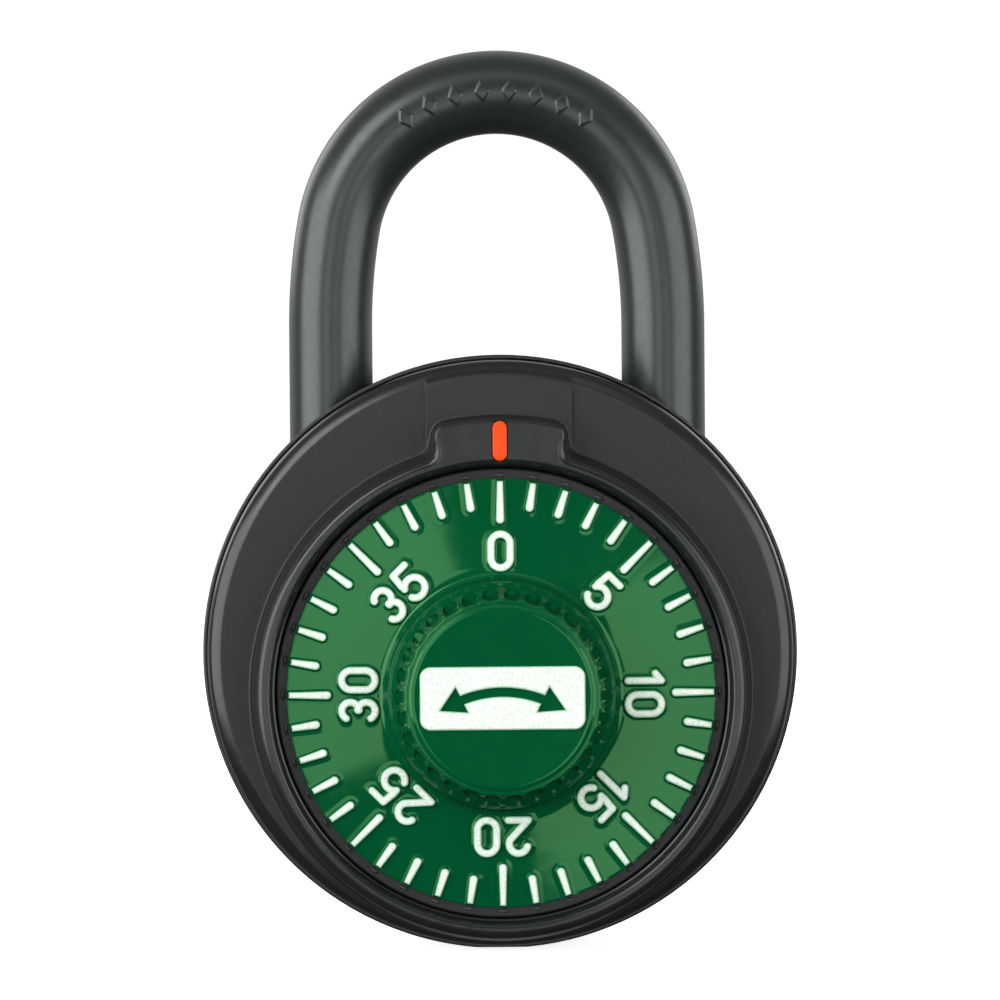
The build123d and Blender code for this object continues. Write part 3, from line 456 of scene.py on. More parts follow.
def edge_profile(crest_width, flank_width, shoulder_drop):
    """Distance and depth along the outer edge of the collar or the tab, crest to foot."""
    turns = np.radians(np.linspace(0, 90, 12))
    reach = crest_width - flank_width
    distance = -crest_width + reach * np.sin(turns)
    depth = collar_depth - shoulder_drop * (1 - np.cos(turns))
    # Past its foot the profile falls steeply away, so that the face takes over.
    return (
        np.concatenate([[-far_off], distance, [0.0, far_off / 10]]),
        np.concatenate([[collar_depth], depth, [face_depth + 0.3, -far_off]]),
    )


collar_profile = edge_profile(crest_width=1.15, flank_width=0.4, shoulder_drop=0.8)
tab_profile = edge_profile(crest_width=0.5, flank_width=0.16, shoulder_drop=0.4)


def rim_section():
    """Radius and depth along the rim: a crease, a crowned bevel, and a round to the side."""
    radius = np.linspace(rim_start, rim_turn, 12)
    tilt = np.linspace(rim_start_tilt, rim_turn_tilt, 12)
    drop = np.concatenate([[0], np.cumsum(np.diff(radius) * np.tan((tilt[1:] + tilt[:-1]) / 2))])
    bend = (cover_radius - rim_turn) / (1 - sin(rim_turn_tilt))
    turns = np.linspace(rim_turn_tilt, pi / 2, 16)[1:]
    round_radius = rim_turn + bend * (np.sin(turns) - sin(rim_turn_tilt))
    round_drop = drop[-1] + bend * (cos(rim_turn_tilt) - np.cos(turns))
    return (
        np.concatenate([[rim_start - 0.02], radius[1:], round_radius]),
        face_depth - np.concatenate([[0], drop[1:], round_drop]),
    )


rim_profile = rim_section()


def cover_height(x, z, with_groove=True):
    """Depth of the cover's front surface at a place seen from the front."""
    dial_distance = np.hypot(x, z - dial_z)
    case_distance = np.hypot(x, z)
    collar = dial_distance - collar_outer
    tab = np.where(z > dial_z, tab_distance(x, dial_distance), far_off)
    joined = soft_min(collar, tab, tab_blend)
    tab_share = smoothstep((collar - tab) / 1.5)
    raised = np.interp(joined, *collar_profile) * (1 - tab_share)
    raised += np.interp(joined, *tab_profile) * tab_share
    bead = edge_bead_height * np.exp(-(((joined - 0.1) / edge_bead_width) ** 2))
    face = np.interp(case_distance, *rim_profile)
    panel_half = panel_half_width - 0.3 * smoothstep((z - panel_bend_z) / 3.0)
    panel = 1 - smoothstep((np.abs(x) - panel_half + 0.07) / 0.14)
    panel = panel * (1 - smoothstep((case_distance - rim_start + 0.5) / 1.0))
    face += panel_raise * panel * smoothstep((z - panel_low_z) / 2.0)
    height = soft_max(face, raised, 0.2) + bead
    if with_groove:
        groove = 1 - smoothstep((mark_distance(x, dial_distance) - 0.02) / mark_groove)
        groove = groove * (z > dial_z)
        height = height - 0.5 * groove
    return height


def cover_columns():
    """Inner and outer angle of every column of the cover's grid."""
    half = np.concatenate([
        np.arange(0.0, 0.5, 0.125),
        np.arange(0.5, 0.74, 0.03),
        np.arange(0.75, 4.7, 0.2),
        np.arange(4.7, 6.7, 0.04),
        np.arange(6.7, straight_half_width, 0.2),
    ])
    straight = np.arcsin(half / collar_inner)
    first = asin(straight_half_width / collar_inner)
    around = np.linspace(first, pi, 168)
    right = np.concatenate([straight, around])
    inner = np.concatenate([right, -right[1:-1][::-1]])
    toward = np.sign(inner + 1e-12)
    size = np.abs(inner)
    upright = np.arcsin(np.clip(collar_inner * np.sin(np.minimum(size, pi / 2)) / cover_radius, -1, 1))
    along = dial_z * np.cos(size)
    reach = -along + np.sqrt(along**2 - dial_z**2 + cover_radius**2)
    radial = np.arctan2(reach * np.sin(size), dial_z + reach * np.cos(size))
    share = smoothstep((size - first) / radians(40))
    return inner, toward * (upright * (1 - share) + radial * share)


def front_cover():
    inner, outer = cover_columns()

    def axis_ring(radius):
        return np.stack([radius * np.sin(inner), dial_z + radius * np.cos(inner)], -1)

    def case_ring(radius):
        return np.stack([radius * np.sin(outer), radius * np.cos(outer)], -1)

    start = axis_ring(collar_inner)
    end = case_ring(cover_radius)
    run = end - start
    from_axis = start - np.array([0.0, dial_z])

    def at_dial_radius(radius):
        """Where each column's line has this distance from the dial axis."""
        a = (run**2).sum(-1)
        b = (run * from_axis).sum(-1)
        c = (from_axis**2).sum(-1) - np.asarray(radius) ** 2
        return start + run * ((-b + np.sqrt(np.maximum(b * b - a * c, 0))) / a)[:, None]

    rows = []
    matt = []

    def put(flat, depth, mattness=0.0):
        """One row of the grid, from flat x and z places and depths."""
        depth = np.broadcast_to(depth, len(flat))
        rows.append(np.stack([flat[:, 0], -depth, flat[:, 1]], -1))
        matt.append(np.broadcast_to(mattness, len(flat)))

    def face_share(height):
        """1 on the face and the panel, 0 on the collar and the tab."""
        return smoothstep((face_depth + panel_raise + 0.12 - height) / 0.1)

    # The well under the dial, and the collar's inner wall and inner edge
    for radius in (bush_radius, 8.0, 14.0, 18.6, ledge_inner - 0.08):
        put(axis_ring(radius), face_depth)
    for depth in (face_depth + 0.08, ledge_depth - 0.03):
        put(axis_ring(ledge_inner), depth)
    for radius in (ledge_inner + 0.03, collar_inner - 0.03):
        put(axis_ring(radius), ledge_depth)
    for depth in (ledge_depth + 0.03, 19.0, collar_depth - collar_edge_round):
        put(axis_ring(collar_inner), depth)
    for turn in np.radians(np.linspace(15, 75, 5)):
        radius = collar_inner + collar_edge_round * (1 - cos(turn))
        put(at_dial_radius(radius), collar_depth - collar_edge_round * (1 - sin(turn)))

    # The crest and outer flank of the collar, which run into the tab
    collar_reach = collar_outer - collar_inner - collar_edge_round
    for step in np.linspace(0, 1, 34):
        flat = at_dial_radius(collar_inner + collar_edge_round + collar_reach * step)
        put(flat, cover_height(*flat.T))

    # The face from the collar to the rim. Near the tab its rows keep to the tab's arc.
    begin = at_dial_radius(collar_outer)
    span = np.linalg.norm(end - begin, axis=-1)
    tab_share = 1 - smoothstep((np.abs(inner) - radians(22)) / radians(20))
    top_span = span[0]
    scale = tab_share + (1 - tab_share) * span / top_span
    tab_reach = tab_radius + 0.5 - collar_outer
    near = np.concatenate([
        np.linspace(0, 0.4, 7)[1:],
        np.linspace(0.4, 1.2, 9)[1:],
        np.linspace(1.2, tab_reach, 40)[1:],
    ])
    for reach in near:
        flat = at_dial_radius(collar_outer + reach * scale)
        height = cover_height(*flat.T)
        put(flat, height, face_share(height))
    last = at_dial_radius(collar_outer + tab_reach * scale)
    for step in np.linspace(0, 1, 76)[1:]:
        share = 1 - (1 - step) ** 1.3
        flat = last + (end - last) * share
        height = cover_height(*flat.T)
        past = np.hypot(*flat.T) - rim_start + 0.2
        put(flat, height, face_share(height) * (1 - smoothstep(past / 0.4)))

    # The side, the underside and the roof inside
    side_top = rim_profile[1][-1]
    for depth in (side_top - 0.5, side_top - 1.2, cover_back + 0.12):
        put(case_ring(cover_radius), depth)
    put(case_ring(cover_radius - 0.12), cover_back)
    put(case_ring(cover_inside_radius), cover_back)
    put(case_ring(cover_inside_radius), cover_inside_depth)
    for radius in (14.0, bush_radius):
        put(axis_ring(radius), cover_inside_depth)

    faces = grid_faces(len(rows), len(inner), wrap_rows=True)
    vertices = np.concatenate(rows)
    matt = np.concatenate(matt)
    add_piece("cover_shell", "case", "cover_black", ["front_cover"], vertices, faces, 50.0, matt)


front_cover()


# ---- Index mark: a stadium-shaped insert that follows the tab's crest ----


def index_mark():
    half_turn = np.linspace(0, pi, 20)
    middle = (mark_inner + mark_outer) / 2
    half_run = (mark_outer - mark_inner) / 2 - mark_half_width
    top = np.stack([np.cos(half_turn), np.sin(half_turn)], -1)
    rows = []
    for inset, rise in ((0.0, -0.4), (0.0, -0.02), (0.03, 0.03), (0.1, 0.055), (0.3, 0.06), (0.5, 0.06)):
        radius = mark_half_width - inset
        upper = top * radius + [0, half_run]
        lower = -top * radius - [0, half_run]
        ring = np.concatenate([upper, lower])
        x = ring[:, 0]
        z = dial_z + middle + ring[:, 1]
        rows.append(np.stack([x, -cover_height(x, z, False) - rise, z], -1))
    columns = len(rows[0])
    faces = cap_rings(grid_faces(len(rows), columns, False), len(rows), columns)
    add_piece("mark_insert", "case", "mark_orange", ["index_mark"], np.concatenate(rows), faces, 60.0)


index_mark()


# ---- Shackle: a round bar along legs and arcs, with a neck, a notch and lozenges ----

bow_start_z = 27.4
bow_side_radius = 50.0
bow_side_angle = radians(10.0)
neck_radius = 2.6
neck_low_z = -6.5
neck_high_z = 8.0
notch_low_z = 12.55
notch_high_z = 18.5
notch_x = leg_x - shackle_radius + 1.5
toe_end_z = 10.4
end_chamfer = 0.7
lozenge_count = 8
lozenge_pitch = radians(9.7)
lozenge_tall = 1.9
lozenge_wide = 1.25
lozenge_proud = 0.1

crown_radius = (leg_x - bow_side_radius * (1 - cos(bow_side_angle))) / cos(bow_side_angle)
crown_z = bow_start_z + (bow_side_radius - crown_radius) * sin(bow_side_angle)


def shackle():
    heel_z = shackle_low[2]
    rows = []

    def leg_row(side, z, radius=shackle_radius, notched=False):
        rows.append((side * leg_x, z, side * pi / 2, radius, notched))

    # A row is x, z, heading from the crown's top, radius, notch. First the heel leg, upwards.
    leg_row(-1, heel_z, shackle_radius - end_chamfer)
    leg_row(-1, heel_z + end_chamfer)
    leg_row(-1, neck_low_z)
    leg_row(-1, neck_low_z, neck_radius)
    leg_row(-1, neck_high_z, neck_radius)
    leg_row(-1, neck_high_z)
    for z in np.arange(neck_high_z + 2, bow_start_z, 2.0):
        leg_row(-1, z)
    bend = np.linspace(0, bow_side_angle, 16)
    side_x = leg_x - bow_side_radius * (1 - np.cos(bend))
    side_z = bow_start_z + bow_side_radius * np.sin(bend)
    for x, z, turn in zip(side_x, side_z, bend):
        rows.append((-x, z, turn - pi / 2, shackle_radius, False))
    top_turn = pi / 2 - bow_side_angle
    coarse = radians(42)
    heading = np.concatenate([
        np.linspace(-top_turn, -coarse, 24)[1:],
        np.linspace(-coarse, coarse, 260)[1:],
        np.linspace(coarse, top_turn, 24)[1:-1],
    ])
    for turn in heading:
        x = crown_radius * sin(turn)
        rows.append((x, crown_z + crown_radius * cos(turn), turn, shackle_radius, False))
    for x, z, turn in zip(side_x[::-1], side_z[::-1], bend[::-1]):
        rows.append((x, z, pi / 2 - turn, shackle_radius, False))
    for z in np.arange(bow_start_z - 1.5, notch_high_z + 0.5, -1.5):
        leg_row(1, z)
    leg_row(1, notch_high_z)
    for z in np.linspace(notch_high_z, notch_low_z, 5):
        leg_row(1, z, notched=True)
    leg_row(1, notch_low_z)
    leg_row(1, toe_end_z + end_chamfer)
    leg_row(1, toe_end_z, shackle_radius - end_chamfer)

    # Around the bar, 0 faces forwards. The front, where the lozenges lie, is finest.
    front = radians(34)
    around = np.concatenate([
        np.linspace(-front, front, 56),
        np.linspace(front, 2 * pi - front, 76)[1:-1],
    ])
    vertices = []
    for x, z, turn, radius, notched in rows:
        outward = radius * np.sin(around)
        forward = radius * np.cos(around)
        if abs(turn) < coarse:
            nearest = np.round(turn / lozenge_pitch - 0.5) + 0.5
            nearest = np.clip(nearest, 0.5 - lozenge_count / 2, lozenge_count / 2 - 0.5)
            along = (turn - nearest * lozenge_pitch) * crown_radius
            inside = 1 - np.abs(along) / (lozenge_wide / 2) - np.abs(outward) / (lozenge_tall / 2)
            facing = np.cos(around) > 0
            swell = lozenge_proud * smoothstep((inside + 0.05) / 0.2) * facing
            outward = outward + swell * np.sin(around)
            forward = forward + swell * np.cos(around)
        px = x + outward * sin(turn)
        pz = z + outward * cos(turn)
        if notched:
            px = np.maximum(px, notch_x)
        vertices.append(np.stack([px, -leg_depth - forward, pz], -1))
    count = len(around)
    vertices = np.concatenate(vertices)
    faces = cap_rings(grid_faces(len(rows), count, False), len(rows), count)
    add_piece("shackle_bow", "shackle", "shackle_black", ["shackle"], vertices, faces, 40.0)


shackle()


# ---- Dial: coned face and knob, with flutes scooped out of the knob's shoulder ----

rim_depth = 18.9
dial_edge_round = 0.15
cone_inner_radius = 10.0
cone_inner_depth = 19.6
flute_count = 30
columns_per_flute = 20
flute_half_share = 0.4
shoulder_radius = 9.3
shoulder_depth = 21.9
grip_radius = 8.43
grip_depth = 22.95
shelf_outer_depth = 22.38
shelf_inner_depth = 22.52
shelf_reach = 0.44
floor_reach = 0.3
grip_top_radius = 8.25
grip_top_depth = 24.75
top_flute_cut = 0.19
dial_edge_radius = dial_radius - dial_edge_round
cone_slope = (cone_inner_depth - rim_depth) / (dial_edge_radius - cone_inner_radius)


def cone_depth(radius):
    """Depth of the coned face at a distance from the dial axis."""
    return cone_inner_depth - cone_slope * (radius - cone_inner_radius)


def dial():
    columns = flute_count * columns_per_flute
    angle = np.arange(columns) * 2 * pi / columns
    place = (np.arange(columns) % columns_per_flute) / columns_per_flute - 0.5
    scoop = np.sqrt(np.maximum(1 - (place / flute_half_share) ** 2, 0))
    any_scoop = smoothstep(scoop / 0.25)

    rows = [(0.0, dial_back), (9.0, dial_back), (dial_radius - 0.1, dial_back)]
    rows += [(dial_radius, dial_back + 0.1), (dial_radius, rim_depth - dial_edge_round)]
    rim_centre = (dial_edge_radius, rim_depth - dial_edge_round)
    rows += arc(rim_centre, dial_edge_round, 15, 80, 5)
    rows += [(r, cone_depth(r)) for r in np.linspace(dial_edge_radius - 0.05, 10.25, 12)]
    rows += [(10.05, 19.63), (9.88, 19.74), (9.74, 19.92), (9.65, 20.15), (9.58, 20.5)]
    rows += [(9.5, 21.0), (9.44, 21.45)]
    rows += arc((9.12, 21.55), 0.3, 5, 50, 6)

    slope = (grip_depth - shoulder_depth) / (shoulder_radius - grip_radius)
    outer = grip_radius + shelf_reach * scoop
    on_cone = shoulder_depth + slope * (shoulder_radius - outer)
    floor = grip_radius - floor_reach * scoop
    low = on_cone + (shelf_outer_depth - on_cone) * any_scoop
    high = on_cone + (shelf_inner_depth - on_cone) * any_scoop
    start_radius, start_depth = 9.28, 21.86
    for share in (0.0, 0.35, 0.7, 0.93):
        radius = start_radius + (outer - start_radius) * share
        rows.append((radius, start_depth + (on_cone - start_depth) * share))
    rows.append((outer, on_cone))
    rows.append((outer - 0.03 * any_scoop, low))
    for share in (0.3, 0.6, 0.9):
        rows.append((outer - 0.03 * any_scoop + (floor - outer) * share, low + (high - low) * share))
    rows.append((floor, high + 0.08 * any_scoop))
    top_radius = grip_top_radius - top_flute_cut * scoop
    for share in (0.05, 0.15, 0.35, 0.6, 0.85, 1.0):
        radius = floor + (top_radius - floor) * share
        depth = high + (grip_top_depth - high) * share
        rows.append((radius, depth + 0.08 * any_scoop * (1 - share)))
    for inset, rise, keep in ((0.05, 0.13, 0.85), (0.13, 0.22, 0.6), (0.24, 0.28, 0.3), (0.36, 0.3, 0.0)):
        rows.append((grip_top_radius - inset - top_flute_cut * keep * scoop, grip_top_depth + rise))
    rows += [(7.76, 25.04), (7.7, 25.035), (7.64, 25.06), (7.58, 25.12), (7.5, 25.165), (7.4, 25.19)]
    rows += [(7.3, knob_depth), (7.22, knob_depth), (5.0, knob_depth), (0.0, knob_depth)]

    vertices = [dial_points(radius, angle, depth) for radius, depth in rows]
    faces = grid_faces(len(rows), columns, wrap_rows=False)
    add_piece("dial_moulding", "dial", "dial_green", ["dial"], np.concatenate(vertices), faces, 38.0)


dial()


# ---- Dial skirt: black plate under the dial with a ring of lens-shaped nubs ----

nub_count = 40
nub_circle = dial_radius + 0.3
nub_half_width = 0.34
nub_half_height = 0.17
nub_rise = 0.22
skirt_depth = 18.3


def dial_skirt():
    columns = nub_count * 18
    angle = np.arange(columns) * 2 * pi / columns
    to_nub = (angle + pi / nub_count) % (2 * pi / nub_count) - pi / nub_count
    edge = 0.22
    rows = [(2.5, skirt_back), (9.0, skirt_back)]
    rows += [(skirt_radius - 0.08, skirt_back), (skirt_radius, skirt_back + 0.08)]
    rows += arc((skirt_radius - edge, skirt_depth - edge), edge, 5, 85, 8)
    painted_nub_highlight = [np.zeros(columns) for _ in rows]
    for radius in np.arange(skirt_radius - edge - 0.03, dial_radius - 0.1, -0.035):
        away = np.hypot(to_nub * radius / nub_half_width, (radius - nub_circle) / nub_half_height)
        rows.append((radius, skirt_depth + nub_rise * np.sqrt(np.maximum(1 - away**2, 0))))
        # The nub mask sets where the painted highlight greys the skirt.
        painted_nub_highlight.append(smoothstep((1.15 - away) / 0.3))
    rows += [(15.0, skirt_depth - 0.01), (2.5, skirt_depth - 0.01)]
    painted_nub_highlight += [np.zeros(columns)] * 2
    vertices = np.concatenate([dial_points(radius, angle, depth) for radius, depth in rows])
    faces = grid_faces(len(rows), columns, wrap_rows=True)
    painted_nub_highlight = np.concatenate(painted_nub_highlight)
    add_piece("dial_plate", "dial", "skirt_black", ["dial_skirt"], vertices, faces, 40.0, painted_nub_highlight)


dial_skirt()


# ---- Raised marks: each is a green swelling of the face with a white cap on it ----

cap_height = 0.28
cap_edge_height = 0.23
cap_foot = 0.05
swell_reach = 0.65
swell_near_reach = 0.2
swell_near_height = 0.175
swell_far_height = 0.02
swell_sink = 0.004
swell_foot = -0.3
mark_sharp_angle = 42.0
surface_limit = dial_radius - 0.06


def swell_rise(distance):
    """Height of the green swelling outside a mark's outline: a steep part on a wide low one."""
    near = swell_near_height * (1 - smoothstep((distance + 0.02) / swell_near_reach))
    far = swell_far_height * (1 - smoothstep(distance / swell_reach))
    return near + far - swell_sink


def cap_rise(distance):
    """Height of the white cap, crowned inside its outline."""
    return cap_height - (cap_height - cap_edge_height) * (1 - smoothstep(-distance / 0.16))


def cap_edge(distance):
    """1 at the outline of a white cap and 0 a little inside it: where the painted green reflection lies."""
    return 1 - smoothstep(-distance / 0.17)


def turned(flat, index):
    """Flat places above the dial axis, turned to a tick's place by its number."""
    turn = index * 2 * pi / tick_count
    return flat @ np.array([[cos(turn), -sin(turn)], [sin(turn), cos(turn)]])


def ring_normals(outline):
    """Outward normals of a closed anticlockwise outline, lengthened at its corners."""

    def beside(run):
        normal = np.stack([run[:, 1], -run[:, 0]], -1)
        return normal / np.linalg.norm(normal, axis=1)[:, None]

    before = beside(outline - np.roll(outline, 1, axis=0))
    normal = before + beside(np.roll(outline, -1, axis=0) - outline)
    return 2 * normal / (normal**2).sum(-1)[:, None]


def on_face(flat, rise):
    """Places on the coned face, from flat places about the dial axis and a rise."""
    radius = np.hypot(*flat.T)
    kept = np.minimum(radius, surface_limit)
    flat = flat * (kept / np.maximum(radius, 1e-9))[:, None]
    return np.stack([flat[:, 0], -cone_depth(kept) - rise, dial_z + flat[:, 1]], -1)


tick_count = 40
major_every = 5
tick_outer = 17.7
minor_inner = 15.3
major_inner = 14.15
tick_outer_half = 0.25
tick_inner_half = 0.34


def tick_outline(inner):
    """Outline of one tick above the dial axis, anticlockwise."""
    bend = inner + tick_inner_half
    side = [(1 - s) * np.array([-tick_outer_half, tick_outer]) + s * np.array([-tick_inner_half, bend])
            for s in np.linspace(0, 1, 6)[:-1]]
    foot = [np.array([-tick_inner_half * cos(t), bend - tick_inner_half * sin(t)])
            for t in np.linspace(0, pi, 13)]
    back = [np.array([-p[0], p[1]]) for p in side[::-1]]
    return np.array(side + foot + back)


def ticks(name, slot, nodes, levels):
    """All ticks as separate closed solids in one mesh, from rings of offset and rise."""
    vertices = []
    faces = []
    for index in range(tick_count):
        outline = tick_outline(major_inner if index % major_every == 0 else minor_inner)
        normal = ring_normals(outline)
        columns = len(outline)
        offset = len(vertices) * columns
        for reach, rise in levels:
            vertices.append(on_face(turned(outline + normal * reach, index), rise))
        own = cap_rings(grid_faces(len(levels), columns, False), len(levels), columns)
        faces += [[offset + corner for corner in face] for face in own]
    # The edge factor sets the painted green reflection along each white cap's outline.
    edge = np.repeat([float(cap_edge(min(reach, 0.0))) for reach, rise in levels], columns)
    edge = np.tile(edge, tick_count)
    add_piece(name, "dial", slot, nodes, np.concatenate(vertices), faces, mark_sharp_angle, edge)


swell_levels = [(swell_reach, swell_foot)]
swell_levels += [(d, float(swell_rise(d))) for d in np.linspace(swell_reach, 0.35, 7)]
swell_levels += [(d, float(swell_rise(d))) for d in np.linspace(0.28, -0.04, 10)]
cap_levels = [(0.0, cap_foot), (0.0, cap_edge_height - 0.02)]
cap_levels += [(d, float(cap_rise(d))) for d in (-0.01, -0.04, -0.08, -0.12, -0.16)]

ticks("tick_swells", "dial_green", [], swell_levels)
ticks("tick_caps", "print_white", ["dial_ticks"], cap_levels)


# ---- Numerals and badge: outlines held as distance fields on a fine grid ----

numeral_circle = 11.9
numeral_height = 3.4
stroke_half = 0.31
half_tall = numeral_height / 2 - stroke_half
digit_advance = {"0": 2.62, "1": 1.9, "2": 2.62, "3": 2.5, "5": 2.62}


def bar(start, end):
    """A straight stroke, as a function that gives the distance from it at a place."""
    start, end = np.array(start), np.array(end)
    run = end - start

    def distance(x, z):
        share = ((x - start[0]) * run[0] + (z - start[1]) * run[1]) / (run @ run)
        share = np.clip(share, 0, 1)
        return np.hypot(x - start[0] - share * run[0], z - start[1] - share * run[1])

    return distance


def bow(centre, radius, start, end):
    """The same for an arc, whose angles are in degrees anticlockwise from +X."""
    middle = radians((start + end) / 2)
    half = radians((end - start) / 2)

    def distance(x, z):
        across, up = x - centre[0], z - centre[1]
        turn = np.arctan2(up, across) - middle
        turn = (turn + pi) % (2 * pi) - pi
        on_arc = np.abs(np.hypot(across, up) - radius)
        ends = [
            np.hypot(across - radius * cos(middle + s * half), up - radius * sin(middle + s * half))
            for s in (-1, 1)
        ]
        return np.where(np.abs(turn) <= half, on_arc, np.minimum(*ends))

    return distance


zero_bend = 0.8
two_bend = 0.77
two_foot = (-0.82, -half_tall)
three_bend = 0.72
five_bowl = 0.85
five_corner = (-0.6, half_tall)
digit_strokes = {
    "0": [
        bow((0, half_tall - zero_bend), zero_bend, 0, 180),
        bar((-zero_bend, half_tall - zero_bend), (-zero_bend, zero_bend - half_tall)),
        bow((0, zero_bend - half_tall), zero_bend, 180, 360),
        bar((zero_bend, half_tall - zero_bend), (zero_bend, zero_bend - half_tall)),
    ],
    "1": [bar((0.3, half_tall), (0.3, -half_tall)), bar((0.3, half_tall), (-0.3, half_tall - 0.5))],
    "2": [
        bow((0, half_tall - two_bend), two_bend, -30, 165),
        bar((two_bend * cos(radians(30)), half_tall - 1.5 * two_bend), two_foot),
        bar(two_foot, (0.85, -half_tall)),
    ],
    "3": [
        bow((0, half_tall - three_bend), three_bend, -85, 150),
        bow((0, three_bend - half_tall), three_bend, -150, 85),
    ],
    "5": [
        bar((0.72, half_tall), five_corner),
        bar(five_corner, (-0.72, 0.25)),
        bow((0, five_bowl - half_tall), five_bowl, -150, 145),
    ],
}


def numeral_distance(text, x, z):
    """Distance outside a whole numeral that is centred on its own origin."""
    left = -sum(digit_advance[c] for c in text) / 2
    nearest = []
    for digit in text:
        across = x - left - digit_advance[digit] / 2
        nearest += [stroke(across, z) for stroke in digit_strokes[digit]]
        left += digit_advance[digit]
    return np.minimum.reduce(nearest) - stroke_half


def snapped_solid(distance, half_width, half_height, level, pitch, lift, bottom):
    """A closed solid over all places where distance is at most level.

    Grid points near that outline are moved onto it. lift(flat, distance) places the top
    and bottom(flat) the underside. Also returns how near each vertex is to the outline,
    which sets the painted green reflection along the print's edge.
    """
    x, z = np.meshgrid(
        np.arange(-half_width, half_width + pitch, pitch),
        np.arange(-half_height, half_height + pitch, pitch),
        indexing="ij",
    )
    field = distance(x, z) - level
    near = np.abs(field) < 0.62 * pitch
    tiny = pitch * 0.05
    for _ in range(4):
        slope_x = (distance(x + tiny, z) - distance(x - tiny, z)) / (2 * tiny)
        slope_z = (distance(x, z + tiny) - distance(x, z - tiny)) / (2 * tiny)
        steep = np.maximum(slope_x**2 + slope_z**2, 0.2)
        x = np.where(near, x - field * slope_x / steep, x)
        z = np.where(near, z - field * slope_z / steep, z)
        field = np.where(near, distance(x, z) - level, field)
    inside = near | (field < 0)
    rows, columns = x.shape
    number = np.arange(rows * columns).reshape(rows, columns)
    corners = [(0, 0), (1, 0), (1, 1), (0, 1)]
    cell = np.stack([number[a:rows - 1 + a, b:columns - 1 + b] for a, b in corners], -1).reshape(-1, 4)
    kept = inside.ravel()[cell]
    faces = cell[kept.all(1)].tolist()
    for corner_ids, flags in zip(cell[kept.sum(1) == 3], kept[kept.sum(1) == 3]):
        faces.append(corner_ids[flags].tolist())
    strict = (~near & inside).ravel()
    faces = [face for face in faces if strict[face].any() or len(face) == 4]
    edges = dict.fromkeys(pair for face in faces for pair in zip(face, face[1:] + face[:1]))
    rim = [(a, b) for a, b in edges if (b, a) not in edges]
    used = np.unique(np.concatenate([np.array(face) for face in faces]))
    renumber = {int(old): new for new, old in enumerate(used)}
    flat = np.stack([x.ravel()[used], z.ravel()[used]], -1)
    top = lift(flat, field.ravel()[used] + level)
    under = bottom(flat)
    count = len(used)
    solid = [[renumber[c] for c in face] for face in faces]
    solid += [[renumber[c] + count for c in face[::-1]] for face in faces]
    solid += [[renumber[b], renumber[a], renumber[a] + count, renumber[b] + count] for a, b in rim]
    inside_by = np.concatenate([field.ravel()[used] + level, np.zeros(count)])
    return np.concatenate([top, under]), solid, cap_edge(np.minimum(inside_by, 0))


def numerals(name, slot, nodes, level, rise, sink, pitch):
    """All numerals as one mesh of closed solids on the coned face."""
    vertices = []
    edge = []
    faces = []
    total = 0
    for value in range(0, tick_count, major_every):
        text = str(value)

        def placed(flat, height):
            return on_face(turned(flat + [0, numeral_circle], value), height)

        margin = max(level, 0.0) + 0.3
        points, own, edge_green_reflection = snapped_solid(
            lambda x, z: numeral_distance(text, x, z),
            sum(digit_advance[c] for c in text) / 2 + margin,
            numeral_height / 2 + margin,
            level,
            pitch,
            lambda flat, distance: placed(flat, rise(distance)),
            lambda flat: placed(flat, np.full(len(flat), sink)),
        )
        faces += [[total + corner for corner in face] for face in own]
        vertices.append(points)
        edge.append(edge_green_reflection)
        total += len(points)
    vertices = np.concatenate(vertices)
    add_piece(name, "dial", slot, nodes, vertices, faces, mark_sharp_angle, np.concatenate(edge))


numerals("numeral_swells", "dial_green", [], swell_reach, swell_rise, swell_foot, 0.08)
numerals("numeral_caps", "print_white", ["dial_numerals"], 0.0, cap_rise, cap_foot, 0.06)

badge_corner = 0.9
arrow_radius = 9.0
arrow_half_angle = 26.0
arrow_half_shaft = 0.375
arrow_head = 2.3
arrow_centre_z = 0.5 - arrow_radius


def triangle_distance(x, z, centre, heading, side):
    """Distance outside an equilateral triangle that points along its heading."""
    inner_radius = side * 0.2887
    angles = [radians(heading) + radians(turn) for turn in (180, 60, -60)]
    reaches = [(x - centre[0]) * cos(angle) + (z - centre[1]) * sin(angle) for angle in angles]
    return np.maximum.reduce(reaches) - inner_radius


def badge_distance(x, z):
    """Distance outside the badge's white plate, whose arrow is cut out."""
    across = np.abs(x) - badge_half[0] + badge_corner
    up = np.abs(z) - badge_half[2] + badge_corner
    plate = np.hypot(np.maximum(across, 0), np.maximum(up, 0))
    plate += np.minimum(np.maximum(across, up), 0) - badge_corner
    start = 90 - arrow_half_angle
    shaft = bow((0, arrow_centre_z), arrow_radius, start, 180 - start)
    arrow = shaft(x, z) - arrow_half_shaft
    for side in (-1, 1):
        turn = 90 - side * arrow_half_angle
        centre = (
            arrow_radius * cos(radians(turn)),
            arrow_radius * sin(radians(turn)) + arrow_centre_z,
        )
        arrow = np.minimum(arrow, triangle_distance(x, z, centre, turn - side * 90, arrow_head))
    return np.maximum(plate, -arrow)


def knob_badge():
    raise_height = badge_depth - knob_depth

    def top(flat, distance):
        rise = raise_height - 0.08 * (1 - smoothstep(-distance / 0.16))
        return np.stack([flat[:, 0], -knob_depth - rise, dial_z + flat[:, 1]], -1)

    def underside(flat):
        return np.stack([flat[:, 0], np.full(len(flat), 0.03 - knob_depth), dial_z + flat[:, 1]], -1)

    vertices, faces, edge = snapped_solid(
        badge_distance, badge_half[0], badge_half[2], 0.0, 0.07, top, underside
    )
    add_piece("badge_plate", "dial", "print_white", ["knob_badge"], vertices, faces, mark_sharp_angle, edge)


knob_badge()


